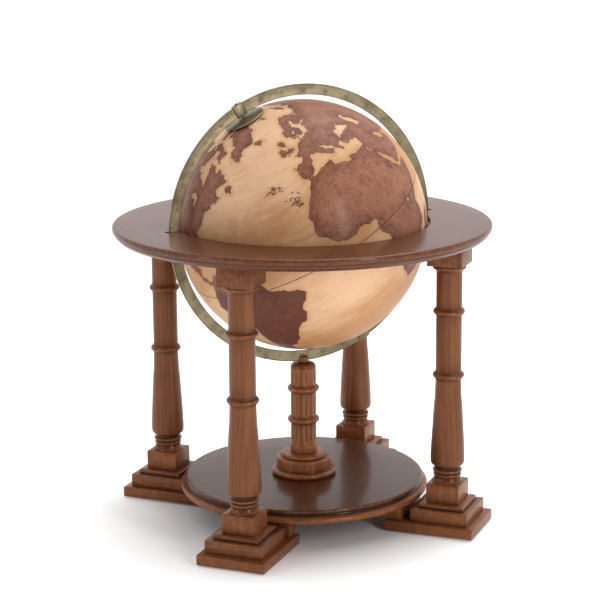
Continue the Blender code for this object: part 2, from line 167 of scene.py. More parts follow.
class Plan:
    """A material's node tree, with one method for any node and a few for the ones used often."""

    def __init__(self, name: str) -> None:
        """Makes an empty material of this name with one Principled shader in it."""
        self.made = bpy.data.materials.new(name)
        self.made.use_nodes = True
        self.tree = self.made.node_tree
        self.shader = self.tree.nodes["Principled BSDF"]

    def node(
        self,
        kind: str,
        settings: dict[str, object] | None = None,
        values: dict[int | str, Value] | None = None,
    ) -> bpy.types.Node:
        """Adds any node.

        Args:
            kind: the node's type name.
            settings: its properties, set before its sockets.
            values: what its input sockets take, a number or a link each.

        Returns:
            The node.
        """
        made = self.tree.nodes.new(kind)
        for name, value in (settings or {}).items():
            setattr(made, name, value)
        for key, value in (values or {}).items():
            self.feed(made.inputs[key], value)
        return made

    def feed(self, target: bpy.types.NodeSocket, value: Value) -> None:
        """Gives an input socket a link or a number."""
        if isinstance(value, Signal):
            value = value.socket
        if isinstance(value, bpy.types.NodeSocket):
            self.tree.links.new(value, target)
        else:
            target.default_value = value

    def set(self, **values: Value) -> None:
        """Feeds the shader's own sockets, named with _ for a space."""
        for name, value in values.items():
            self.feed(self.shader.inputs[name.replace("_", " ")], value)

    def math(self, operation: str, *terms: "Signal | float") -> Signal:
        """One Math node on one to three terms."""
        node = self.node("ShaderNodeMath", {"operation": operation}, dict(enumerate(terms)))
        return Signal(self, node.outputs[0])

    def place(self) -> bpy.types.NodeSocket:
        """The point of the surface in Object coordinates."""
        return self.node("ShaderNodeTexCoord").outputs["Object"]

    def attribute(self, name: str) -> bpy.types.Node:
        """The Attribute node of a piece's own field."""
        return self.node("ShaderNodeAttribute", {"attribute_name": name})

    def stretch(
        self, vector: Value, scale: Sequence[float] = (1, 1, 1), shift: Sequence[float] = (0, 0, 0)
    ) -> bpy.types.NodeSocket:
        """A vector scaled, then shifted, by a Mapping node."""
        values = {"Vector": vector, "Scale": scale, "Location": shift}
        return self.node("ShaderNodeMapping", None, values).outputs[0]

    def parts(self, vector: Value) -> tuple[Signal, Signal, Signal]:
        """A vector's three numbers."""
        node = self.node("ShaderNodeSeparateXYZ", None, {0: vector})
        return tuple(Signal(self, out) for out in node.outputs)

    def joined(self, x: Value, y: Value, z: Value) -> bpy.types.NodeSocket:
        """A vector of three numbers."""
        return self.node("ShaderNodeCombineXYZ", None, {0: x, 1: y, 2: z}).outputs[0]

    def dot(self, vector: Value, axis: Sequence[float]) -> Signal:
        """How far a vector reaches along an axis."""
        node = self.node("ShaderNodeVectorMath", {"operation": "DOT_PRODUCT"}, {0: vector, 1: axis})
        return Signal(self, node.outputs["Value"])

    def noise(self, vector: Value, scale: float, detail: float = 3, rough: float = 0.55) -> Signal:
        """Smooth noise from 0 to 1, of 1 / scale metres from lump to lump."""
        values = {"Vector": vector, "Scale": scale, "Detail": detail, "Roughness": rough}
        return Signal(self, self.node("ShaderNodeTexNoise", None, values).outputs[0])

    def mix(self, share: Value, first: Value, second: Value) -> bpy.types.NodeSocket:
        """Two colours mixed by a share from 0 to 1."""
        values = {0: share, 6: self.rgba(first), 7: self.rgba(second)}
        return self.node("ShaderNodeMix", {"data_type": "RGBA"}, values).outputs[2]

    @staticmethod
    def rgba(value: Value) -> Value:
        """A colour of three numbers with its alpha added."""
        return (*value, 1.0) if isinstance(value, tuple) else value

    def bump(self, height: Signal, distance: float, strength: float = 1.0) -> None:
        """Feeds the shader's Normal with a Bump of that height, in metres per unit of height."""
        values = {"Height": height, "Distance": distance, "Strength": strength}
        self.set(Normal=self.node("ShaderNodeBump", None, values).outputs[0])


# ---------------------------------------------------------------- finishes
class Finish:
    """A finish that makes its material once, when the first piece needs it."""

    name: str = "finish"

    def material(self) -> bpy.types.Material:
        """The finish's material."""
        return bpy.data.materials.get(self.name) or self.make(Plan(self.name))

    def make(self, plan: Plan) -> bpy.types.Material:
        """Fills the plan in; each finish has its own."""
        raise NotImplementedError


@dataclass(frozen=True)
class Walnut(Finish):
    """Stained, lacquered walnut: growth bands, streaks, pores, painted shade in hollows, and sharp edges
    lightened as rubbed wear and painted highlight.

    Silk is the share of light that the fibres themselves throw back, in the wood's own colour.
    """

    name: str = "satin_walnut"
    grain: Grain = Grain.OWN
    dark: Colour = (0.078, 0.0235, 0.0095)
    light: Colour = (0.325, 0.119, 0.043)
    # The colour of the painted shade in hollows.
    glaze: Colour = (0.026, 0.009, 0.005)
    # The colour of sharp edges: rubbed wear and painted highlight.
    rubbed: Colour = (0.42, 0.150, 0.058)
    roughness: float = 0.40
    sheen_level: float = 0.10
    lacquer: float = 0.20
    lacquer_roughness: float = 0.15
    silk: float = 0.30
    boards: int = 8
    heart: tuple[float, float] = (0.083, 0.061)
    year: float = 0.0068
    waver: float = 0.011

    def board(self, plan: Plan) -> tuple[bpy.types.NodeSocket, Signal | float]:
        """The point along, across and through the board, and the board's own tone.

        A ring's boards each span an equal part of a turn. The point is turned back by its board's middle
        angle, so that the grain runs straight in a board and meets the next one at a joint.
        """
        if self.grain is Grain.OWN:
            return plan.attribute("grain").outputs["Vector"], 0.5
        x, y, z = plan.parts(plan.place())
        span = math.tau / self.boards
        number = (plan.math("ARCTAN2", y, x) / span + 0.5).floor()
        middle = number * span
        along = y * middle.cos() - x * middle.sin()
        across = x * middle.cos() + y * middle.sin()
        white = plan.node("ShaderNodeTexWhiteNoise", {"noise_dimensions": "1D"}, {"W": number})
        tone = Signal(plan, white.outputs["Value"])
        return plan.joined(along + tone * 3.0, across + tone * 0.4, z), tone

    def make(self, plan: Plan) -> bpy.types.Material:
        """Colours the board by its bands, streaks and pores, then paints shade into its hollows and lightens
        its sharp edges with rubbed wear and painted highlight.

        The growth bands are circles round the tree's heart, which lies beside the board.
        """
        point, tone = self.board(plan)
        cloud = plan.noise(plan.stretch(point, (0.8, 4.0, 4.0)), 7.0, 3, 0.6)
        warp = plan.noise(plan.stretch(point, (0.16, 1.0, 1.0)), 34.0, 2)
        _, across, through = plan.parts(point)
        reach = plan.math("SQRT", (across - self.heart[0]) ** 2.0 + (through - self.heart[1]) ** 2.0)
        bands = ((reach + warp * self.waver) * (math.tau / self.year)).sin() * 0.5 + 0.5
        streak = plan.noise(plan.stretch(point, (0.05, 1.0, 1.0)), 240.0, 4, 0.65)
        pores = plan.noise(plan.stretch(point, (0.035, 1.0, 1.0)), 1500.0, 2, 0.6)
        lightness = cloud * 0.62 + bands * 0.16 + streak * 0.42 + tone * 0.16 - 0.20
        colour = plan.mix(lightness, self.dark, self.light)
        open_pores = pores.step(0.56, 0.74)
        colour = plan.mix(open_pores * 0.45, colour, self.dark)
        hollow = Signal(plan, plan.attribute("hollow").outputs["Fac"])
        patchy = plan.noise(plan.place(), 120.0, 3, 0.6)
        # Painted shade: the deeper the hollow, the darker the wood.
        colour = plan.mix(hollow.step(0.02, 0.75) * 0.82, colour, self.glaze)
        # Sharp edges lighten in patches: rubbed wear and painted highlight.
        worn = hollow.step(-0.12, -0.85) * patchy.step(0.35, 0.7) * 0.26
        plan.set(
            Base_Color=plan.mix(worn, colour, self.rubbed),
            Roughness=streak * 0.16 + (self.roughness - 0.08),
            Specular_IOR_Level=self.sheen_level,
            Coat_Weight=self.lacquer,
            Coat_Roughness=self.lacquer_roughness,
            Coat_IOR=1.5,
            Metallic=self.silk,
        )
        plan.bump(streak * 0.35 - open_pores * 0.65, 0.00016, 0.55)
        return plan.made


RING_WALNUT = Walnut(
    name="satin_walnut_ring",
    grain=Grain.SEGMENTS,
    dark=(0.052, 0.0145, 0.0060),
    light=(0.175, 0.0540, 0.0200),
    lacquer=0.38,
    silk=0.10,
)
SHAFT_WALNUT = Walnut(
    name="satin_walnut_shaft", dark=(0.068, 0.0200, 0.0080), light=(0.280, 0.1020, 0.0370), silk=0.34
)
# A darker copy of the walnut for the posts' square tops: painted shade from the horizon ring above them.
SHADED_SQUARE_WALNUT = Walnut(
    name="satin_walnut_square_shaded", dark=(0.058, 0.0170, 0.0072), light=(0.215, 0.0740, 0.0270)
)
SHELF_WALNUT = Walnut(
    name="satin_walnut_shelf",
    dark=(0.040, 0.0120, 0.0052),
    light=(0.120, 0.0400, 0.0155),
    lacquer=0.38,
    silk=0.0,
)
# Lighter walnut for the shelf's rim bead: partly the wood's own tone, partly a painted highlight along the
# rim.
BEAD_WALNUT = Walnut(
    name="satin_walnut_bead",
    grain=Grain.SEGMENTS,
    dark=(0.115, 0.036, 0.0145),
    light=(0.400, 0.150, 0.058),
)
# A lighter copy of the walnut for the column and its foot: painted light, as they sit in the globe's shade.
LIT_COLUMN_WALNUT = Walnut(
    name="satin_walnut_column_lit", dark=(0.125, 0.040, 0.0160), light=(0.470, 0.178, 0.068)
)


@dataclass(frozen=True)
class Brass(Finish):
    """Aged brass with a dull olive tone, cloudy tarnish and fine brushing. It may carry a degree scale."""

    name: str = "aged_brass_plain"
    bright: Colour = (0.250, 0.208, 0.132)
    tarnish: Colour = (0.085, 0.072, 0.044)
    ink: Colour = (0.045, 0.032, 0.018)
    roughness: float = 0.36
    scale_centre: Vector | None = None
    lean: float = 0.0
    tick_from: float = 0.2200
    tick_fade: float = 0.0002
    outer_rail: float = 0.2241
    inner_rail_gap: float = 0.0012
    ticks: tuple[tuple[int, float, float], ...] = (
        (1, 0.042, 0.0016), (5, 0.050, 0.0006), (10, 0.070, -0.0010),
    )

    def marks(self, plan: Plan) -> Signal:
        """The degree scale on the ring's two faces: a line at each degree, longer at fives and tens.

        The angle is read about the ring's centre from the north pole, and a line is where that angle
        is near a multiple of its spacing, beyond the radius where lines of that length start. Each tick
        is held as its spacing and half width in degrees and its start past tick_from. Two rails run
        round beside the ends of the lines.
        """
        centred = plan.stretch(plan.place(), shift=tuple(-self.scale_centre))
        x, y, z = plan.parts(centred)
        angle = plan.math("ARCTAN2", x, z) * (180 / math.pi) + math.degrees(self.lean)
        reach = plan.math("SQRT", x * x + z * z)
        face = abs(y).step(0.00150, 0.00165) * reach.step(0.2243, 0.2240)
        rails = abs(reach - self.outer_rail).step(0.00022, 0.00010)
        lines = rails.most(abs(reach - (self.tick_from - self.inner_rail_gap)).step(0.00018, 0.00008))
        for every, half, start in self.ticks:
            low = self.tick_from + start
            lines = lines.most(angle.near(every, half) * reach.step(low, low + self.tick_fade))
        return lines * face

    def make(self, plan: Plan) -> bpy.types.Material:
        """Mixes bright metal and tarnish by cloudy noise, with the scale's lines in dark wax."""
        point = plan.place()
        cloud = plan.noise(point, 38.0, 5, 0.62)
        speck = plan.noise(point, 420.0, 3, 0.6)
        hollow = Signal(plan, plan.attribute("hollow").outputs["Fac"])
        dull = cloud.step(0.36, 0.72) * 0.55 + speck.step(0.5, 0.8) * 0.25 + hollow.step(0.0, 0.5) * 0.6
        colour = plan.mix(dull.least(1.0), self.bright, self.tarnish)
        rough = dull * 0.20 + self.roughness
        metal, height = 1.0, speck * 0.35
        if self.scale_centre is not None:
            marks = self.marks(plan)
            colour = plan.mix(marks * 0.88, colour, self.ink)
            metal = 1.0 - marks * 0.85
            height = height - marks
        plan.set(Base_Color=colour, Roughness=rough, Metallic=metal)
        plan.bump(height, 0.00008, 0.5)
        return plan.made


DULL_BRASS = Brass(name="aged_brass_dull", bright=(0.30, 0.25, 0.17), tarnish=(0.12, 0.10, 0.065))


@dataclass(frozen=True)
class MapPaper(Finish):
    """Varnished antique map paper: ocean, land with engraved relief, coasts, graticule and gore joints."""

    name: str = "antique_map_paper"
    centre: Vector = Vector((0, 0, 0.48))
    lean: float = 0.0
    first_meridian: float = 0.0
    ocean_light: Colour = (0.780, 0.500, 0.305)
    ocean_deep: Colour = (0.520, 0.255, 0.110)
    land_light: Colour = (0.385, 0.165, 0.100)
    land_dark: Colour = (0.140, 0.048, 0.030)
    ink: Colour = (0.060, 0.028, 0.020)
    net_degrees: float = 15
    gore_degrees: float = 30
    contour_degrees: float = 1.7

    def chart(self, plan: Plan) -> tuple[bpy.types.NodeSocket, Signal, Signal, Signal]:
        """The point in the globe's polar frame, its latitude and longitude in degrees and cos(latitude)."""
        centred = plan.stretch(plan.place(), shift=tuple(-self.centre))
        east = (math.cos(self.lean), 0.0, math.sin(self.lean))
        north = (-math.sin(self.lean), 0.0, math.cos(self.lean))
        x, y, z = plan.dot(centred, east), plan.dot(centred, (0.0, 1.0, 0.0)), plan.dot(centred, north)
        level = plan.math("SQRT", x * x + y * y)
        latitude = plan.math("ARCTAN2", z, level) * (180 / math.pi)
        longitude = plan.math("ARCTAN2", y, x) * (180 / math.pi) - self.first_meridian
        share = level / plan.math("SQRT", level * level + z * z)
        return plan.joined(x, y, z), latitude, longitude, share

    def make(self, plan: Plan) -> bpy.types.Material:
        """Draws the map from the coast and ink fields, frayed by noise, and varnishes it."""
        polar, latitude, longitude, share = self.chart(plan)
        coast = Signal(plan, plan.attribute("coast").outputs["Fac"])
        stroke = Signal(plan, plan.attribute("ink").outputs["Fac"])
        fray = plan.noise(polar, 55.0, 6, 0.68) - 0.5
        fringe = plan.noise(polar, 300.0, 3, 0.6) - 0.5
        broken = latitude.step(34, 50) * latitude.step(74, 66)
        shore = coast + fray * (broken * 4.0 + 4.4) + fringe * 1.1
        land = shore.step(-0.10, 0.10)
        swell = plan.noise(polar, 9.0, 4, 0.55)
        drift = plan.noise(plan.stretch(polar, (1.0, 1.0, 7.0)), 26.0, 4, 0.62)
        # Painted shade: a darker ocean band just north of the equator, where the horizon ring shades the
        # globe's front.
        painted_ring_shade = latitude.step(46, 22) * latitude.step(-8, 6)
        # Painted shade: the ocean darkens towards the south, for the globe's shaded lower side.
        painted_south_shade = latitude.step(-14, -44)
        tint = swell * 0.75 + drift * 0.60 + painted_ring_shade * 0.34 + painted_south_shade * 0.40 - 0.28
        ocean = plan.mix(tint.step(0.22, 0.92), self.ocean_light, self.ocean_deep)
        streaks = plan.noise(plan.stretch(polar, (1.0, 1.0, 15.0)), 70.0, 3, 0.6).step(0.56, 0.72)
        ocean = plan.mix(streaks * 0.34, ocean, self.ocean_deep)
        shoal = shore.step(-2.6, -0.3) * (1.0 - land)
        hatch = latitude.near(0.9, 0.16) * shore.step(-2.2, -0.4)
        ocean = plan.mix(shoal * 0.30 + hatch * shoal * 0.35, ocean, self.ocean_deep)
        relief = plan.noise(polar, 62.0, 7, 0.66)
        ridges = plan.noise(plan.stretch(polar, (1.0, 1.0, 0.5)), 190.0, 5, 0.7)
        inland = shore.step(0.0, 7.0)
        southern = latitude.step(8, -2) * longitude.step(-28, -34)
        shade = relief * 0.8 + ridges * 0.8 + inland * 0.20 - southern * 0.42 - 0.50
        ground = plan.mix(shade.step(0.02, 0.72), self.land_dark, self.land_light)
        wander = shore + relief * 3.0 + ridges * 1.2
        contour = (wander * (math.tau / self.contour_degrees)).sin().step(0.30, 0.95)
        ground = plan.mix(contour * 0.36, ground, self.land_dark)
        hill = ridges.step(0.60, 0.74) * relief.step(0.45, 0.62) * 0.42
        ground = plan.mix(hill, ground, self.ocean_deep)
        colour = plan.mix(land, ocean, ground)
        edge = abs(shore - 0.05).step(0.34, 0.10)
        strokes = (stroke + fringe * 0.7).step(0.29, 0.12) * (0.80 - land * 0.66)
        off_pole = share.step(0.17, 0.26)
        net = longitude.near(self.net_degrees, 0.05) * off_pole
        net = net.most(latitude.near(self.net_degrees, 0.05)) * 0.26
        line = abs(latitude).step(0.26, 0.14) * 0.85
        lines = (edge * 0.62).most(strokes).most(net).most(line)
        colour = plan.mix(lines, colour, self.ink)
        fox = plan.noise(polar, 90.0, 2, 0.5).step(0.70, 0.84) * 0.16
        colour = plan.mix(fox, colour, self.land_dark)
        gore = longitude.near(self.gore_degrees, 0.06) * off_pole
        fibre = plan.noise(polar, 900.0, 3, 0.6)
        plan.set(
            Base_Color=colour,
            Roughness=relief * 0.10 + 0.46,
            Specular_IOR_Level=0.14,
            Coat_Weight=0.09,
            Coat_Roughness=0.12,
        )
        plan.bump(fibre * 0.4 - gore - lines * 0.2, 0.00010, 0.35)
        return plan.made


@dataclass(frozen=True)
class Steel(Finish):
    """Zinc-plated steel with fine scratches."""

    name: str = "plated_steel"
    tone: Colour = (0.52, 0.53, 0.55)

    def make(self, plan: Plan) -> bpy.types.Material:
        """Scratches it by noise drawn out along Z."""
        point = plan.place()
        scratch = plan.noise(plan.stretch(point, (1.0, 1.0, 0.1)), 900.0, 3)
        cloud = plan.noise(point, 150.0, 3)
        colour = plan.mix(cloud * 0.4, self.tone, (0.30, 0.30, 0.31))
        plan.set(Base_Color=colour, Roughness=scratch * 0.25 + 0.25, Metallic=1.0)
        plan.bump(scratch, 0.00005, 0.4)
        return plan.made


@dataclass(frozen=True)
class Felt(Finish):
    """Pressed wool felt."""

    name: str = "green_felt"
    tone: Colour = (0.055, 0.085, 0.060)

    def make(self, plan: Plan) -> bpy.types.Material:
        """Mixes two tones by tangled fibre noise, with a soft sheen."""
        point = plan.place()
        fibre = plan.noise(point, 1600.0, 5, 0.75)
        lump = plan.noise(point, 260.0, 3)
        colour = plan.mix(fibre * 0.6 + lump * 0.3, self.tone, (0.13, 0.17, 0.13))
        plan.set(Base_Color=colour, Roughness=0.95, Sheen_Weight=0.4, Sheen_Roughness=0.5)
        plan.bump(fibre, 0.0003, 0.8)
        return plan.made


@dataclass(frozen=True)
class PaleWood(Finish):
    """Plain beech or grey card: a pale ground with short darker flecks along Z."""

    name: str = "beech"
    pale: Colour = (0.62, 0.43, 0.26)
    fleck: Colour = (0.36, 0.22, 0.12)
    length: float = 0.15

    def make(self, plan: Plan) -> bpy.types.Material:
        """Flecks it by noise drawn out along Z."""
        point = plan.place()
        flecks = plan.noise(plan.stretch(point, (1.0, 1.0, self.length)), 900.0, 3)
        cloud = plan.noise(point, 60.0, 2)
        colour = plan.mix(flecks.step(0.5, 0.75) * 0.7 + cloud * 0.2, self.pale, self.fleck)
        plan.set(Base_Color=colour, Roughness=flecks * 0.1 + 0.6)
        plan.bump(flecks, 0.0001, 0.4)
        return plan.made


@dataclass(frozen=True)
class InkWax(Finish):
    """Dark wax in engraved numbers."""

    name: str = "dark_wax"

    def make(self, plan: Plan) -> bpy.types.Material:
        """Dulls it unevenly."""
        worn = plan.noise(plan.place(), 700.0, 3)
        colour = plan.mix(worn.step(0.55, 0.8) * 0.5, (0.040, 0.028, 0.016), (0.16, 0.13, 0.07))
        plan.set(Base_Color=colour, Roughness=worn * 0.2 + 0.45)
        return plan.made


# ---------------------------------------------------------------- profiles and surfaces
class Outline:
    """A profile in (across, up) pairs, drawn run by run like a turner's template."""

    def __init__(self, across: float, up: float) -> None:
        """Starts at a point."""
        self.runs = [np.array([[across, up]])]

    def line(self, *pairs: tuple[float, float]) -> "Outline":
        """Goes straight to each point in turn."""
        self.runs.append(np.array(pairs))
        return self

    def arc(self, across: float, up: float, turn: float, count: int = 8) -> "Outline":
        """Goes to a point along a circle's arc.

        The chord from the start to a share t of the arc is the whole chord times
        sin(turn t / 2) / sin(turn / 2), turned back by turn (1 - t) / 2.

        Args:
            across: the end's distance.
            up: the end's height.
            turn: how far the direction turns, in degrees, positive anticlockwise.
            count: the pieces that it is cut into.

        Returns:
            The outline itself.
        """
        start = self.runs[-1][-1]
        chord = complex(*(np.array([across, up]) - start))
        angle, share = math.radians(turn), np.arange(1, count + 1) / count
        way = chord * np.sin(angle * share / 2) / math.sin(angle / 2) * np.exp(-0.5j * angle * (1 - share))
        self.runs.append(np.stack([way.real, way.imag], 1) + start)
        return self

    def curve(self, *pairs: tuple[float, float], count: int = 6) -> "Outline":
        """Goes smoothly through each point, as a Catmull-Rom spline from the last one."""
        knots = np.vstack([self.runs[-1][-1:], pairs])
        before, after = np.vstack([knots[:1], knots[:-1]]), np.vstack([knots[1:], knots[-1:]])
        slope = (after - before) / 2
        t = (np.arange(1, count + 1) / count)[None, :, None]
        p, q, m, n = (part[:, None] for part in (knots[:-1], knots[1:], slope[:-1], slope[1:]))
        points = (
            (2 * t**3 - 3 * t**2 + 1) * p + (t**3 - 2 * t**2 + t) * m
            + (3 * t**2 - 2 * t**3) * q + (t**3 - t**2) * n
        )
        self.runs.append(points.reshape(-1, 2))
        return self

    def bead(self, height: float, low: float, high: float, half: float) -> "Outline":
        """A half-round bead on a shaft, between two narrow fillets, going downwards."""
        fillet = low + 0.18 * (high - low)
        arch = high - fillet
        turn = -math.degrees(4 * math.atan(arch / (half * 0.86)))
        self.line((low, height + half * 1.25), (fillet, height + half * 1.2), (fillet, height + half * 0.86))
        self.arc(fillet, height - half * 0.86, turn, 12)
        return self.line((fillet, height - half * 1.2), (low, height - half * 1.25))

    def points(self, ease: float = 0.0006, closed: bool = False) -> np.ndarray:
        """The profile with its sharp corners eased.

        A corner P that turns by over 22 degrees becomes four points of the quadratic curve from
        ease before P to ease after it, and by no more than 0.4 of the shorter side there.

        Args:
            ease: how far from a corner its rounding reaches, in metres.
            closed: True where the last point joins the first.

        Returns:
            An array of (across, up) pairs.
        """
        p = np.vstack(self.runs)
        before, after = np.roll(p, 1, 0) - p, np.roll(p, -1, 0) - p
        lengths = np.linalg.norm(before, axis=1), np.linalg.norm(after, axis=1)
        turning = np.abs(turn_angles(p))
        reach = np.minimum(ease, 0.4 * np.minimum(*lengths))
        sharp = (turning > EASED_CORNER) & (turning < FOLDED_BACK)
        if not closed:
            sharp[[0, -1]] = False
        start = before * (reach / np.maximum(lengths[0], 1e-9))[:, None]
        end = after * (reach / np.maximum(lengths[1], 1e-9))[:, None]
        t = np.linspace(0, 1, 4)[None, :, None]
        eased = p[:, None] + (1 - t) ** 2 * start[:, None] + t**2 * end[:, None]
        keep = np.column_stack([np.ones(len(p), bool), *[sharp] * 3])
        eased[~sharp] = p[~sharp][:, None]
        return eased[keep]


def turn_angles(points: np.ndarray) -> np.ndarray:
    """How far a closed run of points turns at each one, in radians, positive anticlockwise."""
    ahead = np.roll(points, -1, 0) - points
    behind = points - np.roll(points, 1, 0)
    cross = behind[:, 0] * ahead[:, 1] - behind[:, 1] * ahead[:, 0]
    return np.arctan2(cross, (ahead * behind).sum(1))


def hollows(points: np.ndarray, closed: bool, spread: float = 0.0018) -> np.ndarray:
    """How hollow a clockwise profile is at each point: 1 in a sharp inner corner, -1 on a sharp edge.

    Each corner's turning, over a quarter turn, is spread along the profile as a bell curve.
    """
    turning = turn_angles(points)
    if not closed:
        turning[[0, -1]] = 0
    gaps = np.linalg.norm(np.diff(points, axis=0), axis=1)
    along = np.concatenate([[0], np.cumsum(gaps)])
    bell = np.exp(-(((along[:, None] - along[None, :]) / spread) ** 2) / 2)
    return np.clip(bell @ turning / (math.pi / 2), -1, 1)


@dataclass
class Surface:
    """A grid of points whose columns close on each other, and whose rows may too, with fields on it."""

    grid: np.ndarray
    hollow: np.ndarray
    ring: bool = False

    def moved(self, matrix: Matrix) -> "Surface":
        """The same surface moved by a matrix."""
        turn = np.array(matrix.to_3x3())
        return Surface(self.grid @ turn.T + np.array(matrix.translation), self.hollow, self.ring)

    def object(self, name: str, **fields: np.ndarray) -> bpy.types.Object:
        """A smooth-shaded object of the surface.

        A row that is one point, as at a pole, becomes one vertex, and faces that lose a side there
        become triangles. The faces are turned outwards by the sign of the volume that they enclose.

        Args:
            name: the object's name.
            fields: attributes by name, each a grid of numbers or of vectors.

        Returns:
            The object, linked to the scene.
        """
        rows, columns = self.grid.shape[:2]
        index = np.arange(rows * columns).reshape(rows, columns)
        point_rows = np.ptp(self.grid, axis=1).max(axis=1) < 1e-9
        index[point_rows] = index[point_rows, :1]
        lower = np.vstack([index, index[:1]]) if self.ring else index
        a, b = lower[:-1], lower[1:]
        quads = np.stack([a, np.roll(a, -1, 1), np.roll(b, -1, 1), b], -1).reshape(-1, 4)
        points = self.grid.reshape(-1, 3)
        halves = points[quads[:, [0, 1, 2]]], points[quads[:, [0, 2, 3]]]
        middle = points.mean(0)
        if sum(np.linalg.det(half - middle).sum() for half in halves) < 0:
            quads = quads[:, ::-1]
        used, quads = np.unique(quads, return_inverse=True)
        kept = {key: self.flat(value)[used] for key, value in fields.items()}
        return mesh_object(name, points[used], quads.reshape(-1, 4), kept)

    def flat(self, values: np.ndarray) -> np.ndarray:
        """A field's grid as one row for each point."""
        return values.reshape(self.grid.shape[0] * self.grid.shape[1], -1)


def mesh_object(
    name: str, points: np.ndarray, quads: np.ndarray, fields: dict[str, np.ndarray]
) -> bpy.types.Object:
    """Puts points and faces into a mesh.

    Args:
        name: the object's name.
        points: one row of three numbers a vertex.
        quads: four vertex numbers a face; one that repeats a number becomes a triangle.
        fields: attributes by name, with one or three numbers a vertex.

    Returns:
        The object, linked to the scene and shaded smooth with its sharp edges kept.
    """
    corners_kept = quads != np.roll(quads, -1, 1)
    counts = corners_kept.sum(1)
    whole = counts > 2
    corners = quads[whole][corners_kept[whole]]
    starts = np.concatenate([[0], np.cumsum(counts[whole])[:-1]])
    made = bpy.data.meshes.new(name)
    made.vertices.add(len(points))
    made.vertices.foreach_set("co", np.ascontiguousarray(points, np.float32).ravel())
    made.loops.add(len(corners))
    made.loops.foreach_set("vertex_index", corners.astype(np.int32))
    made.polygons.add(int(whole.sum()))
    made.polygons.foreach_set("loop_start", starts.astype(np.int32))
    made.update(calc_edges=True)
    made.validate()
    for key, values in fields.items():
        kind, setter = ("FLOAT", "value") if values.shape[1] == 1 else ("FLOAT_VECTOR", "vector")
        field = made.attributes.new(key, kind, "POINT")
        field.data.foreach_set(setter, np.ascontiguousarray(values, np.float32).ravel())
    made.shade_smooth()
    made.set_sharp_from_angle(angle=SHARP_EDGE)
    obj = bpy.data.objects.new(name, made)
    bpy.context.scene.collection.objects.link(obj)
    return obj


def turned(profile: np.ndarray, steps: int, closed: bool = False) -> Surface:
    """A profile turned about Z: x = r cos(turn), y = r sin(turn), z = height."""
    turn = np.linspace(0, math.tau, steps, endpoint=False)[None, :]
    radius, height = profile[:, :1], profile[:, 1:]
    grid = np.stack([radius * np.cos(turn), radius * np.sin(turn), height + 0 * turn], -1)
    hollow = np.repeat(hollows(profile, closed)[:, None], steps, 1)
    return Surface(grid, hollow, closed)


def corners_round() -> tuple[np.ndarray, np.ndarray]:
    """The turns round a rectangle's four rounded corners, and which corner, as two signs, each is at."""
    quarter = np.repeat(np.arange(4), CORNER_STEPS)
    turn = (quarter * 90 + np.tile(np.linspace(0, 90, CORNER_STEPS), 4)) * math.pi / 180
    return turn, np.array([[1, 1], [-1, 1], [-1, -1], [1, -1]])[quarter]


def squared(profile: np.ndarray, half: tuple[float, float], corner: float = 0.0012) -> Surface:
    """A profile carried round a rounded rectangle, and closed at its middle above and below.

    Each corner's quarter circle is centred at the rectangle's corner less its radius, moved out by
    the profile's first number, and the profile's second number is the height.

    Args:
        profile: (outset, height) pairs that run down the outer side.
        half: the rectangle's half sizes along X and Y.
        corner: the radius of its upright edges.

    Returns:
        The closed surface about the origin.
    """
    turn, side = corners_round()
    outset, height = profile[:, :1], profile[:, 1:]
    x = side[:, 0] * (half[0] - corner + outset) + corner * np.cos(turn)
    y = side[:, 1] * (half[1] - corner + outset) + corner * np.sin(turn)
    grid = np.stack([x, y, height + 0 * x], -1)
    # Upright edges count as sharp edges, so they take the lighter edge colour: rubbed wear and painted
    # highlight.
    upright = -0.55 * np.ones(grid.shape[:2])
    hollow = hollows(profile, False)[:, None] + 0 * upright
    hollow = np.where(hollow < 0.1, np.minimum(hollow, upright), hollow)
    caps = [np.tile([0, 0, level], (1, len(turn), 1)) for level in (profile[0, 1], profile[-1, 1])]
    flat = np.zeros((1, len(turn)))
    return Surface(np.concatenate([caps[0], grid, caps[1]]), np.vstack([flat, hollow, flat]))


def around(degrees: float) -> Matrix:
    """A turn about Z."""
    return Matrix.Rotation(math.radians(degrees), 4, "Z")


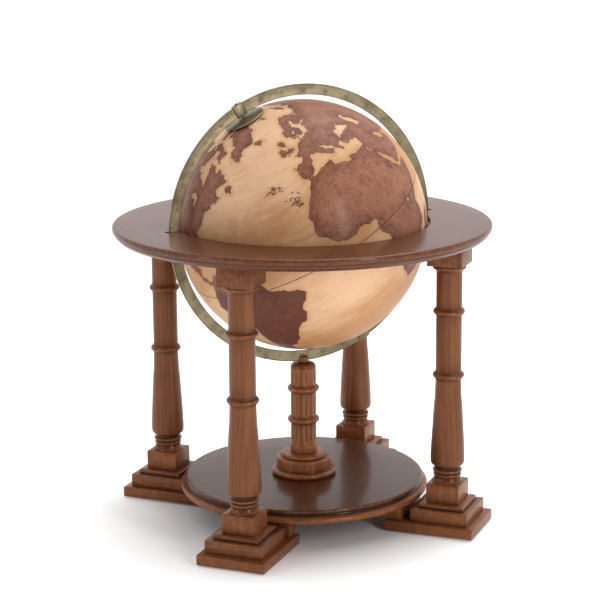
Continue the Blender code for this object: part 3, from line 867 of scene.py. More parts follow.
class Workshop:
    """Dresses pieces, ties them to their bodies and reports them."""

    def __init__(self, seed: int) -> None:
        """Seeds the shifts that give each board its own grain."""
        self.random = np.random.default_rng(seed)
        self.count = 0

    def fit(
        self, obj: bpy.types.Object, body: Body, slot: Slot, finish: Finish, *nodes: str
    ) -> bpy.types.Object:
        """Gives a piece its finish, its body and the nodes that it stands for.

        Args:
            obj: the piece, in place.
            body: the body that it rides on.
            slot: not used.
            finish: its finish.
            nodes: the CAD nodes that it replaces.

        Returns:
            The piece.
        """
        obj.data.materials.clear()
        obj.data.materials.append(finish.material())
        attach(obj, body.value)
        if nodes:
            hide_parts(*nodes)
        self.count += 1
        LOG.info("%s: %d faces on %s", obj.name, len(obj.data.polygons), body.value)
        return obj

    def wood(
        self,
        name: str,
        surface: Surface,
        place: Matrix,
        along: str,
        *nodes: str,
        finish: Finish | None = None,
    ) -> bpy.types.Object:
        """A wooden piece of the stand, whose grain runs along one of its own axes.

        The grain field holds the local point with the grain's axis first, shifted by a random
        stretch so that no two pieces look cut from the same spot.

        Args:
            name: the piece's name.
            surface: its surface about its own origin.
            place: where it goes.
            along: "x", "y" or "z", the grain's axis.
            nodes: the CAD nodes that it replaces.
            finish: a finish other than plain walnut.

        Returns:
            The piece.
        """
        order = {"x": [0, 1, 2], "y": [1, 2, 0], "z": [2, 0, 1]}[along]
        grain = surface.grid[..., order] + self.random.uniform(-1, 1, 3) * (2.0, 0.05, 0.05)
        obj = surface.moved(place).object(name, grain=grain, hollow=surface.hollow)
        return self.fit(obj, Body.STAND, Slot.WALNUT, finish or Walnut(), *nodes)

    def metal(
        self, name: str, surface: Surface, place: Matrix, body: Body, finish: Finish, *nodes: str
    ) -> bpy.types.Object:
        """A brass piece."""
        obj = surface.moved(place).object(name, hollow=surface.hollow)
        return self.fit(obj, body, Slot.BRASS, finish, *nodes)

    def repaint(self, finish: Finish, *nodes: str) -> None:
        """Gives carried-over CAD nodes a finish on their own slots."""
        for node in nodes:
            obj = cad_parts[node]
            for slot in obj.material_slots:
                slot.material = finish.material()
            LOG.info("%s: kept from the CAD as %s", node, finish.name)


# ---------------------------------------------------------------- stand
@dataclass
class HorizonRing:
    """The broad flat ring round the globe, with a moulded rim and two notches for the meridian ring."""

    top: float
    bottom: float
    radius: float
    foot: float = 0.294
    hole: float = 0.205
    lip: float = 0.0095
    notch: float = 0.006
    notch_centre: float = 0.2256
    swell: float = 0.0042
    swell_width: float = 0.15
    ledge: float = 0.0028
    fade: float = 0.040
    wall_glaze: float = 0.95

    def section(self) -> np.ndarray:
        """The ring's section: top, rounded lip, quirk, ovolo and underside, clockwise."""
        rim, low = self.radius, self.top - self.lip
        steps = [self.hole + reach for reach in (0.002, 0.006, 0.011, 0.017, 0.023, 0.030, 0.040, 0.060)]
        shape = Outline(self.hole, self.top).line(*[(r, self.top) for r in steps])
        shape.line((rim - 0.0038, self.top)).arc(rim, self.top - 0.0038, -90, 8)
        shape.line((rim, low + 0.0020)).arc(rim - 0.0020, low, -90, 5)
        shape.line((rim - 0.0030, low), (rim - 0.0032, low - 0.0012))
        shape.arc(self.foot + 0.0018, low - 0.0075, -72, 9).line((self.foot + 0.0002, self.bottom + 0.0004))
        shape.line((self.foot - 0.0006, self.bottom))
        shape.line(*[(r, self.bottom) for r in reversed(steps)], (self.hole, self.bottom))
        inner, ledge = self.hole - self.ledge, self.bottom + 0.0030
        shape.line((inner, self.bottom + 0.0002), (inner, ledge), (self.hole, ledge + 0.0006))
        return shape.points(0.0008, closed=True)

    def inner_edge(self, turn: np.ndarray) -> np.ndarray:
        """The hole's radius at each angle.

        Near X the slot's round end is the far crossing of a circle centred on X, then its straight
        sides are half width / sin(angle), and everywhere else it is the hole's own radius, eased
        outwards beside the slots by a bell curve.
        """
        off = np.abs((turn + math.pi / 2) % math.pi - math.pi / 2)
        inside = np.maximum(self.notch**2 - (self.notch_centre * np.sin(off)) ** 2, 0)
        end = self.notch_centre * np.cos(off) + np.sqrt(inside)
        side = self.notch / np.maximum(np.sin(off), 1e-6)
        slot = np.where(off < math.asin(self.notch / self.notch_centre), end, side)
        hole = self.hole + self.swell * np.exp(-((off / self.swell_width) ** 2) / 2)
        return np.maximum(np.where(off < 1.3 * self.notch / self.hole, slot, 0), hole)

    def build(self, shop: Workshop) -> None:
        """Carries the section round, its inner part pushed out by the notches and less so further out.

        The columns crowd beside the notches, and the hole's wall counts as a deep hollow, so it takes painted
        shade.
        """
        fine = np.radians(np.concatenate([np.linspace(0, 1.48, 16), np.linspace(1.5, 1.70, 15)]))
        coarse = np.linspace(0, math.tau, 240, endpoint=False)
        turn = np.concatenate([coarse, fine, -fine, math.pi - fine, fine - math.pi])
        turn = np.unique(np.round(turn % math.tau, 7))[None, :]
        section = self.section()
        radius, height = section[:, :1], section[:, 1:]
        share = 1 - np.clip((radius - self.hole) / self.fade, 0, 1)
        radius = radius + share * (self.inner_edge(turn) - self.hole)
        grid = np.stack([radius * np.cos(turn), radius * np.sin(turn), height + 0 * turn], -1)
        hollow = hollows(section, True)[:, None] + 0 * turn
        wall = (section[:, :1] < self.hole + 0.0005) & (section[:, 1:] < self.top - 0.001)
        # The hole's wall takes painted shade, as dark as a deep hollow.
        surface = Surface(grid, np.where(wall, self.wall_glaze, hollow), True)
        shop.wood("ring_moulded", surface, Matrix(), "x", "horizon_ring", finish=RING_WALNUT)


@dataclass
class Post:
    """One turned post with its square top, foot block, plinth, slab and shelf pad."""

    number: int
    degrees: float
    reach: float = 0.2474
    shaft: float = 0.0204
    bead: float = 0.025
    bead_half: float = 0.0054
    beads: tuple[float, float] = (0.3578, 0.2545)
    straights: tuple[tuple[float, float], ...] = ((0.400, 0.380), (0.320, 0.290))
    square_half: float = 0.0285
    square: tuple[float, float] = (0.4330, 0.4662)
    block_half: float = 0.027
    block: tuple[float, float] = (0.0472, 0.0778)
    slab: tuple[float, float, float] = (0.1604, 0.3058, 0.0562)
    slab_levels: tuple[float, float] = (0.0023, 0.0190)
    step_half: float = 0.0472
    step_levels: tuple[float, float] = (0.0193, 0.0400)
    tread_half: float = 0.0370
    tread_top: float = 0.0469
    pad: tuple[float, float, float] = (0.1604, 0.1860, 0.0500)
    pad_levels: tuple[float, float] = (0.0193, 0.0427)
    edge: float = 0.0011

    def outline(self) -> np.ndarray:
        """The turned part, from under the square top to the block: cove, beads, swell, neck and rings."""
        shape = Outline(0, self.square[0] - 0.0001).line((0.0248, self.square[0] - 0.0001), (0.0248, 0.4318))
        shape.arc(0.0248, 0.4262, -110, 8).line((0.0238, 0.4258)).arc(self.shaft, 0.4188, 60, 8)
        for height, (upper, lower) in zip(self.beads, self.straights, strict=True):
            shape.line((self.shaft, upper), (self.shaft, lower))
            shape.bead(height, self.shaft, self.bead, self.bead_half)
        shape.curve((0.0213, 0.2200), (0.0226, 0.2050), (0.0246, 0.1720), (0.0264, 0.1400), (0.0271, 0.1220))
        shape.curve((0.0271, 0.1150), (0.0262, 0.1090), (0.0232, 0.1062), count=5)
        shape.line((0.0200, 0.1045), (0.0200, 0.1008))
        shape.arc(0.0206, 0.1004, 30, 2).arc(0.0206, 0.0946, -170, 10).line((0.0204, 0.0936))
        shape.arc(0.0204, 0.0878, -130, 10).line((0.0208, 0.0866)).arc(0.0242, 0.0800, 40, 6)
        shape.line((0.0242, self.block[1] + 0.0001), (0, self.block[1] + 0.0001))
        return shape.points(0.0005)

    def step(self) -> np.ndarray:
        """The side of the plinth and the tread on it, from the top down."""
        low, high = self.step_levels
        inset, quirk = self.tread_half - self.step_half, 0.0006
        shape = Outline(inset, self.tread_top).line((inset, high + quirk), (inset + quirk, high), (0, high))
        return shape.line((0, low)).points(0.0012)

    @staticmethod
    def wall(levels: tuple[float, float]) -> np.ndarray:
        """A plain upright side between two levels, from the top down."""
        return np.array([(0.0, levels[1]), (0.0, levels[0])])

    def span(self, size: tuple[float, float, float]) -> tuple[tuple[float, float], Matrix]:
        """The half sizes and the middle of a block given by its near end, its far end and half width."""
        near, far, half = size
        middle = around(self.degrees) @ Matrix.Translation(((near + far) / 2, 0, 0))
        return ((far - near) / 2, half), middle

    def eased(self, profile: np.ndarray) -> np.ndarray:
        """A side whose first and last points are turned over by an eased edge."""
        edge = self.edge * np.array([(-1, 0), (-0.3, -0.3), (0, -1)])
        return np.vstack([profile[0] + edge, profile[1:-1], profile[-1] + edge[::-1] * (1, -1)])

    def build(self, shop: Workshop) -> None:
        """Turns the shaft and carries the square pieces' profiles round their rectangles."""
        place = around(self.degrees) @ Matrix.Translation((self.reach, 0, 0))
        shaft, number = turned(self.outline(), 64), self.number
        shop.wood(f"post_shaft_{number}", shaft, place, "z", f"post_{number}", finish=SHAFT_WALNUT)
        halves = self.square_half, self.block_half, self.step_half
        top, block, step = (((half, half), place) for half in halves)
        pieces = (
            ("post_square", "post", self.wall(self.square), top, "z", SHADED_SQUARE_WALNUT),
            ("post_block", "post", self.wall(self.block), block, "z", None),
            ("foot_step", "foot_plinth", self.step(), step, "y", None),
            ("foot_slab_oiled", "foot_slab", self.wall(self.slab_levels), self.span(self.slab), "x", None),
            ("shelf_block", "shelf_pad", self.wall(self.pad_levels), self.span(self.pad), "y", None),
        )
        for name, node, profile, (half, middle), along, finish in pieces:
            surface = squared(self.eased(profile), half)
            shop.wood(f"{name}_{number}", surface, middle, along, f"{node}_{number}", finish=finish)


@dataclass
class Shelf:
    """The round shelf with a cove and a round rim, and the turned foot, column and cap on its middle."""

    top: float
    low: float
    radius: float = 0.195
    rim: float = 0.2025
    rim_height: float = 0.0488
    column_low: float = 0.1006
    column_top: float = 0.2440
    column_radius: float = 0.0209
    column_beads: tuple[float, float] = (0.2085, 0.1560)
    flutes: int = 16
    flute_depth: float = 0.0011
    flute_fade: float = 0.003
    flute_end: float = 0.1185
    bead_reach: float = 0.0085
    nub_top: float = 0.2635
    slot_half: float = 0.0025
    slot_floor: float = 0.2527

    def board(self, shop: Workshop) -> None:
        """The shelf itself and the bead round its rim, turned."""
        r, top = self.radius, self.top
        shape = Outline(0, top).line((0.06, top), (0.12, top), (r - 0.0026, top))
        shape.arc(r, top - 0.0026, -90, 6).line((r, 0.0600), (r - 0.0012, 0.0596))
        shape.arc(r - 0.0012, 0.0550, 120, 8).line((r, 0.0547), (r, self.low), (0, self.low))
        board = turned(shape.points(0.0006), 160)
        shop.wood("shelf_board", board, Matrix(), "x", "shelf", finish=SHELF_WALNUT)
        low = self.low + 0.0002
        rim = Outline(r - 0.001, 0.0546).line((r + 0.0010, 0.0546)).arc(self.rim - 0.0040, 0.0538, -20, 3)
        rim.arc(self.rim - 0.0040, 0.0436, -165, 14).line((r + 0.0010, low), (r - 0.001, low))
        bead = turned(rim.points(0.0006, closed=True), 192, closed=True)
        shop.wood("shelf_bead", bead, Matrix(), "x", "shelf", finish=BEAD_WALNUT)

    def base(self, shop: Workshop) -> None:
        """The turned foot: a collar seat, a drum and a round foot ring."""
        low = self.top - 0.0007
        shape = Outline(0, 0.1003).line((0.0348, 0.1003)).arc(0.0368, 0.0983, -90, 5)
        shape.line((0.0368, 0.0952)).arc(0.0380, 0.0940, 90, 4).line((0.0412, 0.0940))
        shape.arc(0.0450, 0.0902, -90, 7).line((0.0450, 0.0782)).arc(0.0462, 0.0746, 50, 4)
        shape.line((0.0482, 0.0742)).arc(0.0482, 0.0650, -178, 12).line((0.0480, low), (0, low))
        foot = turned(shape.points(), 96)
        shop.wood("column_foot", foot, Matrix(), "z", "centre_base", finish=LIT_COLUMN_WALNUT)

    def column(self, shop: Workshop) -> None:
        """The fluted column.

        Its radius is the outline's, less the flutes' depth times sin(flutes x turn / 2) squared,
        within the bands between its beads, at whose ends the flutes fade.
        """
        r, high = self.column_radius, self.column_top
        shape = Outline(0, high).line((r - 0.0012, high)).arc(r, high - 0.0012, -90, 4)
        bands, upper = [], high - self.flute_fade
        for height in self.column_beads:
            levels = np.linspace(upper, height + self.bead_reach, 14)
            shape.line(*[(r, level) for level in levels]).bead(height, r, 0.0261, 0.0050)
            bands.append((upper, height + self.bead_reach))
            upper = height - self.bead_reach
        levels = np.linspace(upper, self.flute_end, 14)
        bands.append((upper, self.flute_end))
        shape.line(*[(r, level) for level in levels], (r, 0.1150)).arc(0.0222, 0.1130, -60, 4)
        shape.line((0.0222, 0.1040), (0.0212, self.column_low), (0, self.column_low))
        surface = turned(shape.points(0.0004), 192)
        z = surface.grid[..., 2]
        turn = np.arctan2(surface.grid[..., 1], surface.grid[..., 0])
        inside = sum(np.clip(np.minimum(a - z, z - b) / self.flute_fade, 0, 1) for a, b in bands)
        groove = inside * np.sin(turn * self.flutes / 2) ** 2
        radius = np.maximum(np.linalg.norm(surface.grid[..., :2], axis=-1), 1e-9)
        surface.grid[..., :2] *= (1 - self.flute_depth * groove / radius)[..., None]
        # The flutes count as hollows, so they take painted shade.
        surface.hollow = np.maximum(surface.hollow, groove * 0.40)
        shop.wood("column_fluted", surface, Matrix(), "z", "centre_column", finish=LIT_COLUMN_WALNUT)

    def cap(self, shop: Workshop) -> None:
        """The rounded cap, whose nub is cut by a slot along X.

        The outline is turned, and a long thin block down to the slot's floor is cut out of it. The cut
        makes new points, so the grain and hollow fields are worked out from the points it leaves.
        """
        low = self.column_top + 0.0002
        shape = Outline(0, self.nub_top)
        shape.line((0.0012, self.nub_top), (0.0026, self.nub_top), (0.0045, self.nub_top - 0.0004))
        shape.arc(0.0085, self.nub_top - 0.0044, -80, 6).line((0.0085, 0.2540)).arc(0.0104, 0.2522, 80, 4)
        shape.line((0.0122, 0.2520)).arc(0.0209, low, -82, 10).line((0, low))
        surface = turned(shape.points(0.0004), 96)
        obj = surface.object("saddle_block_tool")
        walls = np.array([[0, self.nub_top + 0.01], [0, self.slot_floor]])
        tool = squared(walls, (0.03, self.slot_half), 0.0002).object("saddle_slot_tool")
        cut = obj.modifiers.new("slot", "BOOLEAN")
        cut.operation, cut.solver, cut.object = "DIFFERENCE", "EXACT", tool
        bpy.context.view_layer.update()
        graph = bpy.context.evaluated_depsgraph_get()
        mesh = bpy.data.meshes.new_from_object(obj.evaluated_get(graph))
        for used in (obj, tool):
            bpy.data.objects.remove(used, do_unlink=True)
        made = bpy.data.objects.new("saddle_block", mesh)
        bpy.context.scene.collection.objects.link(made)
        points = np.empty(len(mesh.vertices) * 3, np.float32)
        mesh.vertices.foreach_get("co", points)
        points = points.reshape(-1, 3)
        grain = mesh.attributes.new("grain", "FLOAT_VECTOR", "POINT")
        grain.data.foreach_set("vector", np.ascontiguousarray(points[:, [2, 0, 1]]).ravel())
        hollow = mesh.attributes.new("hollow", "FLOAT", "POINT")
        # Painted shade: a dark band at the height of the slot's floor.
        level = np.exp(-(((points[:, 2] - 0.2524) / 0.0015) ** 2)) * 0.6
        hollow.data.foreach_set("value", np.ascontiguousarray(level, np.float32))
        mesh.shade_smooth()
        mesh.set_sharp_from_angle(angle=SHARP_EDGE)
        shop.fit(made, Body.STAND, Slot.WALNUT, Walnut(), "saddle_cap")

    def build(self, shop: Workshop) -> None:
        """Makes the board, the foot, the column and the cap."""
        self.board(shop)
        self.base(shop)
        self.column(shop)
        self.cap(shop)


@dataclass
class Feet:
    """The felt discs under the slabs."""

    radius: float = 0.014
    thickness: float = 0.002

    def build(self, shop: Workshop) -> None:
        """Turns a disc with a soft edge for each felt node, at the middle of that node's box."""
        r, high = self.radius, self.thickness
        shape = Outline(0, high).line((r - 0.0006, high)).arc(r - 0.0004, 0.0, -160, 6).line((0, 0))
        for number in range(1, 9):
            low_corner, high_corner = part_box(f"felt_pad_{number}")
            middle = (low_corner + high_corner) / 2
            place = Matrix.Translation((middle.x, middle.y, 0))
            disc = turned(shape.points(0.0003), 48).moved(place).object(f"felt_disc_{number}")
            shop.fit(disc, Body.STAND, Slot.FELT, Felt(), f"felt_pad_{number}")


# ---------------------------------------------------------------- meridian
@dataclass
class Meridian:
    """The graduated brass ring that carries the globe, with its pole clips and pins."""

    centre: Vector
    lean: float
    inner: float = 0.2083
    outer: float = 0.2256
    half: float = 0.0020
    rim: float = 0.0011
    field: float = 0.00172
    number_at: float = 0.2150
    number_size: float = 0.0078
    clip_half: float = 0.0085
    clip_at: float = 0.2170
    clip_side: float = 0.0050
    clip_wall: float = 0.0016
    clip_gap: float = 0.0002
    clip_corner: float = 0.0011

    def section(self) -> np.ndarray:
        """The ring's section as (radius, side): rounded rims with a slightly sunk field on each face."""
        near, far, slope = self.inner + self.rim, self.outer - self.rim, 0.0003
        face = [(self.inner, self.half), (near, self.half), (near + slope, self.field)]
        face += [(far - slope, self.field), (far, self.half), (self.outer, self.half)]
        shape = Outline(*face[0]).line(*face[1:], *[(radius, -side) for radius, side in reversed(face)])
        return shape.points(0.0004, closed=True)

    def ring(self, shop: Workshop, finish: Brass) -> None:
        """Carries the section round the ring: x = r sin(turn), y = side, z = r cos(turn)."""
        section = self.section()
        turn = np.linspace(0, math.tau, 480, endpoint=False)[None, :]
        radius, side = section[:, :1], section[:, 1:]
        grid = np.stack([radius * np.sin(turn), side + 0 * turn, radius * np.cos(turn)], -1)
        hollow = hollows(section, True, 0.0008)[:, None] + 0 * turn
        place = Matrix.Translation(self.centre)
        surface = Surface(grid, hollow, True)
        shop.metal("meridian_graduated", surface, place, Body.MERIDIAN, finish, "meridian_ring")

    def numbers(self, shop: Workshop) -> None:
        """The degrees from the equator at every tenth degree on both faces, as thin inlays."""
        pieces = []
        for tens in range(36):
            degrees = tens * 10
            if degrees % 180 == 0:
                continue
            text = str(abs(90 - degrees % 180))
            angle = math.radians(degrees) - self.lean
            for face in (-1, 1):
                flat = numeral(text, self.number_size)
                upright = Matrix.Rotation(math.pi / 2, 4, "X")
                back = Matrix.Rotation(math.pi if face > 0 else 0, 4, "Z")
                out = Matrix.Translation((0, face * (self.field + 0.00003), self.number_at))
                spin = Matrix.Rotation(angle, 4, "Y")
                flat.transform(Matrix.Translation(self.centre) @ spin @ out @ back @ upright)
                pieces.append(flat)
        made = join_meshes("meridian_numbers", pieces)
        shop.fit(made, Body.MERIDIAN, Slot.BRASS, InkWax())

    def clip(self, shop: Workshop, side: str, angle: float) -> None:
        """The clip that straddles the ring at a pole.

        Its section is a rounded rectangle outside and the ring's own rectangle inside. The grid runs
        along the outside, turns in at the end and comes back along the inside, so it closes on itself.
        """
        half_turn, wall, gap = self.clip_half / self.clip_at, self.clip_wall, self.clip_gap
        loops = {
            "out": self.loop(self.clip_side, self.inner - wall, self.outer + wall, self.clip_corner),
            "in": self.loop(self.half + gap, self.inner - gap, self.outer + gap, gap),
        }
        runs = [(-s, k, "out") for k, s in ((0.90, 1.0), (0.97, 0.985), (1.0, 0.94))]
        runs += [(s, k, "out") for k, s in ((1.0, 0.94), (0.97, 0.985), (0.90, 1.0))]
        runs += [(1.0, 1.0, "in"), (-1.0, 1.0, "in")]
        rows = []
        for share, shrink, name in runs:
            loop = loops[name]
            middle = loop.mean(0)
            section = middle + (loop - middle) * shrink
            turn = angle + share * half_turn
            side_way, radius = section.T
            rows.append(np.stack([radius * math.sin(turn), side_way, radius * math.cos(turn)], -1))
        grid = np.stack(rows)
        surface = Surface(grid, np.full(grid.shape[:2], -0.1), True)
        place = Matrix.Translation(self.centre)
        shop.metal(f"clip_{side}", surface, place, Body.MERIDIAN, Brass(), f"pole_clip_{side}")

    @staticmethod
    def loop(half: float, low: float, high: float, corner: float) -> np.ndarray:
        """A rounded rectangle's points as (side, radius)."""
        turn, sign = corners_round()
        side = sign[:, 0] * (half - corner) + corner * np.cos(turn)
        radius = (low + high) / 2 + sign[:, 1] * ((high - low) / 2 - corner) + corner * np.sin(turn)
        return np.stack([side, radius], -1)

    def pin(self, shop: Workshop, side: str, place: Matrix) -> None:
        """The pin through the ring into the globe's bush, with a domed head."""
        head = self.outer + self.clip_wall
        shape = Outline(0, head + 0.0024).arc(0.0034, head + 0.0006, -60, 8).line((0.0034, head + 0.0002))
        shape.line((0.0012, head + 0.0001), (0.0012, 0.1905), (0.0007, 0.1895), (0, 0.1895))
        surface = turned(shape.points(0.0002), 32)
        shop.metal(f"pin_{side}", surface, place, Body.MERIDIAN, Brass(), f"pole_pin_{side}")

    def build(self, shop: Workshop) -> None:
        """Makes the ring, its numbers, and a clip and a pin at each pole."""
        graduated = Brass(name="aged_brass_graduated", scale_centre=self.centre, lean=self.lean)
        self.ring(shop, graduated)
        self.numbers(shop)
        for side, south in (("north", False), ("south", True)):
            turn = -self.lean + (math.pi if south else 0)
            self.clip(shop, side, turn)
            place = Matrix.Translation(self.centre) @ Matrix.Rotation(turn, 4, "Y")
            self.pin(shop, side, place)


def numeral(text: str, size: float) -> bpy.types.Mesh:
    """A number as a thin closed mesh, facing +Z and centred on the origin."""
    curve = bpy.data.curves.new("numeral", "FONT")
    curve.body, curve.size, curve.extrude = text, size, 0.00004
    curve.align_x, curve.align_y = "CENTER", "CENTER"
    curve.resolution_u = 3
    obj = bpy.data.objects.new("numeral", curve)
    bpy.context.scene.collection.objects.link(obj)
    bpy.context.view_layer.update()
    graph = bpy.context.evaluated_depsgraph_get()
    mesh = bpy.data.meshes.new_from_object(obj.evaluated_get(graph))
    bpy.data.objects.remove(obj, do_unlink=True)
    bpy.data.curves.remove(curve)
    return mesh


def join_meshes(name: str, meshes: Sequence[bpy.types.Mesh]) -> bpy.types.Object:
    """One object of several meshes that are already in place."""
    points, faces, start = [], [], 0
    for mesh in meshes:
        block = np.empty(len(mesh.vertices) * 3, np.float32)
        mesh.vertices.foreach_get("co", block)
        points.append(block.reshape(-1, 3))
        faces += [[start + corner for corner in face.vertices] for face in mesh.polygons]
        start += len(mesh.vertices)
    made = bpy.data.meshes.new(name)
    made.from_pydata(np.vstack(points).tolist(), [], faces)
    made.validate()
    obj = bpy.data.objects.new(name, made)
    bpy.context.scene.collection.objects.link(obj)
    return obj


@dataclass
class HourDial:
    """The thin domed dial over the north pole, with twenty-four hour marks."""

    centre: Vector
    lean: float
    radius: float = 0.033
    low: float = 0.2026
    thickness: float = 0.0014
    hole: float = 0.0018
    edge: float = 0.0004
    number_at: float = 0.027
    number_size: float = 0.0046

    def build(self, shop: Workshop) -> None:
        """Turns a thin cap of a sphere, and lays the hours' numbers on it."""
        place = Matrix.Translation(self.centre) @ Matrix.Rotation(-self.lean, 4, "Y")
        high = self.low + self.thickness
        start, end = math.asin(self.hole / self.low), math.asin(self.radius / self.low)
        turn = np.linspace(start, end, 14)
        upper = np.stack([high * np.sin(turn), high * np.cos(turn)], -1)
        lower = np.stack([self.low * np.sin(turn), self.low * np.cos(turn)], -1)[::-1]
        profile = np.vstack([upper[:-1], upper[-1:] - (self.edge, 0), upper[-1:] - (0, self.edge), lower])
        surface = turned(profile, 144, closed=True)
        shop.metal("hour_cap", surface, place, Body.DIAL, DULL_BRASS, "hour_dial")
        pieces = []
        for hour in range(24):
            flat = numeral(str(hour % 12 + 1), self.number_size)
            tip = Matrix.Rotation(self.number_at / high, 4, "X")
            spin = Matrix.Rotation(math.tau * hour / 24, 4, "Z")
            flat.transform(place @ spin @ tip @ Matrix.Translation((0, 0, high)))
            pieces.append(flat)
        shop.fit(join_meshes("hour_numbers", pieces), Body.DIAL, Slot.BRASS, InkWax())


# ---------------------------------------------------------------- globe
class WorldMap:
    """Simplified coasts and rivers of the world as (longitude, latitude) corners, drawn one by one."""

    AFRICA = (
        (-6, 35.8), (-2, 35.2), (3, 36.9), (10, 37.3), (11, 34), (15, 32.3), (20, 31), (20.5, 32.8),
        (23, 32.6), (25, 31.6), (29, 30.9), (32.4, 31.2), (32.6, 29.9), (35.5, 24), (37.2, 20.5),
        (39.5, 15.5), (43.2, 12.3), (43.3, 11.4), (51.2, 11.9), (50.8, 9.5), (48, 4.5), (44, 1), (41.5, -2),
        (39.3, -5), (40.5, -10.5), (40.6, -15), (36, -18.8), (35.3, -24), (32.8, -26.5), (31, -29.8),
        (27.5, -33.2), (22, -34.2), (18.4, -34.2), (18, -31.5), (15.2, -27), (14.4, -22.5), (11.8, -17),
        (13.6, -12), (13.2, -8.7), (12, -5), (9.3, -1), (9.8, 3.5), (8.5, 4.6), (6, 4.3), (4, 6.4), (1, 6),
        (-2.5, 4.8), (-7.7, 4.4), (-11.5, 7), (-13.3, 9.3), (-16.7, 12.5), (-17.4, 14.7), (-16.3, 19),
        (-17, 21), (-14.8, 25.8), (-13, 27.9), (-9.8, 30), (-9.5, 32), (-6.8, 34),
    )
    EURASIA = (
        (-9.2, 38.7), (-9, 43.1), (-2, 43.5), (-1.3, 46), (-4.5, 48.2), (-1.6, 48.7), (0, 49.5), (3, 51.2),
        (4.8, 53), (8.6, 53.8), (8.2, 57), (10.5, 57.6), (10.3, 56), (10.9, 54), (14, 54), (19, 54.4),
        (21, 56.5), (22, 57.5), (24.3, 57.3), (23.5, 59.2), (28, 59.6), (29.8, 60.2), (23, 60), (21.3, 61),
        (22, 63), (25, 65), (22, 65.8), (18, 62.6), (17.2, 60.7), (18.7, 59.5), (16.5, 57), (14.2, 55.4),
        (12.8, 55.6), (11.2, 59), (8, 58.1), (5.5, 59), (5.2, 62), (10, 64), (14.5, 68), (21, 70.2), (26, 71),
        (31, 70.3), (41, 67), (40, 66), (33.5, 66.6), (38, 64), (44, 66.5), (46.5, 67.8), (54, 68.5),
        (60.5, 69.5), (68, 68.5), (67, 71.5), (70, 73), (73, 71.5), (73, 67.8), (78, 72), (87, 75),
        (104, 77.6), (113, 74), (127, 73), (140, 72.8), (160, 70), (170, 69.5), (180, 68.8), (190, 66),
        (180, 62.5), (170, 60), (163, 58), (161, 54.5), (157, 51.2), (156, 57), (163, 61.5), (155, 59.3),
        (143, 59), (135.5, 54.7), (141, 52), (140, 48), (135, 43.5), (130.5, 42.3), (127.5, 39.5),
        (129.4, 36), (126.5, 34.5), (126, 37.7), (121.5, 39.5), (118, 39), (121, 37.5), (119.3, 35),
        (121.8, 31), (120, 26), (116, 23), (110, 21), (106.5, 20), (109, 13), (106, 9.5), (105, 9),
        (101, 13.3), (99.5, 10), (103.5, 4), (103.5, 1.4), (101.3, 2.8), (98.3, 8), (98, 15), (94.3, 16),
        (92, 22), (87, 21.5), (82.3, 16.8), (80.2, 13), (79.8, 10.3), (77.5, 8), (75, 12), (72.8, 19),
        (72.6, 21.5), (69.2, 22), (67, 25), (61.5, 25.2), (57, 26.8), (54, 26.6), (50, 30), (48, 30),
        (50, 26.5), (51.5, 25), (54, 24.2), (56.4, 26.2), (59.8, 22.5), (55, 17), (52, 15.6), (45, 12.8),
        (43.2, 13.5), (42.6, 16.5), (39, 21.5), (35, 28), (34.2, 29.5), (32.6, 29.7), (32.3, 31.2),
        (34.3, 31.3), (35.8, 35), (36, 36.8), (30.5, 36.5), (27.3, 37), (26.5, 39.5), (29, 41), (35, 42),
        (41.5, 41.5), (37, 45), (39, 47.2), (35, 46), (33.5, 44.5), (30.5, 46.2), (28, 43.5), (28.5, 41.3),
        (26, 40.8), (23.5, 40.3), (23, 38), (22.5, 36.5), (19.5, 40.5), (19.5, 41.8), (13.7, 45.2),
        (12.4, 44.5), (15, 42), (18.5, 40.1), (16, 38), (12.5, 41.3), (10.3, 43.3), (8.5, 44.3), (4, 43.5),
        (3, 42), (-0.2, 39), (-2, 36.8), (-5.5, 36), (-8.8, 37),
    )
    NORTH_AMERICA = (
        (-55.7, 52.2), (-60, 55.5), (-64.5, 60.3), (-67.5, 58.4), (-70, 61), (-74, 62.3), (-78, 62.4),
        (-77, 57.5), (-79, 54.7), (-79, 51.5), (-82.3, 53), (-85, 55.3), (-92.5, 57), (-94.7, 59),
        (-93, 61.5), (-87, 64.5), (-86.5, 66.5), (-81.5, 67.5), (-82, 69.7), (-88, 68.5), (-94, 71.8),
        (-96, 68.3), (-108, 68), (-115, 68.2), (-125, 70), (-136, 69), (-156.5, 71.3), (-166, 68.5),
        (-162, 66.5), (-168, 65.6), (-161, 64), (-165.5, 61.5), (-162, 59), (-157.5, 58.6), (-164, 54.8),
        (-154, 58.5), (-150, 61), (-146, 60.8), (-139, 59.5), (-133, 56.5), (-128, 51), (-124.5, 47.5),
        (-124.3, 42), (-122.4, 37.2), (-118.4, 34), (-115.8, 30), (-112.2, 26), (-110, 23), (-112.5, 27.5),
        (-114.7, 31.5), (-109.3, 26), (-105.5, 21.5), (-105.4, 20), (-101.5, 17.7), (-95, 16), (-92, 14.5),
        (-87.7, 13), (-85.8, 11), (-83, 8.4), (-80, 7.4), (-77.7, 7), (-77.3, 8.5), (-80, 9.4), (-83.5, 10.8),
        (-83.3, 14.8), (-88, 15.8), (-88.2, 18), (-87, 21.3), (-90.5, 21), (-91, 18.7), (-94.5, 18.2),
        (-97, 20.5), (-97.5, 25), (-95, 29), (-90, 29.2), (-87.5, 30.4), (-84, 30), (-82.7, 28), (-81, 25.2),
        (-80.2, 27), (-81.3, 31), (-77, 34.5), (-75.8, 36.5), (-75, 39), (-74, 40.6), (-70, 41.7),
        (-70.5, 43.5), (-66.5, 44.5), (-65.5, 43.4), (-61, 45.8), (-64, 46.5), (-65, 48.5), (-70, 47),
        (-66, 50.2), (-59, 50.5),
    )
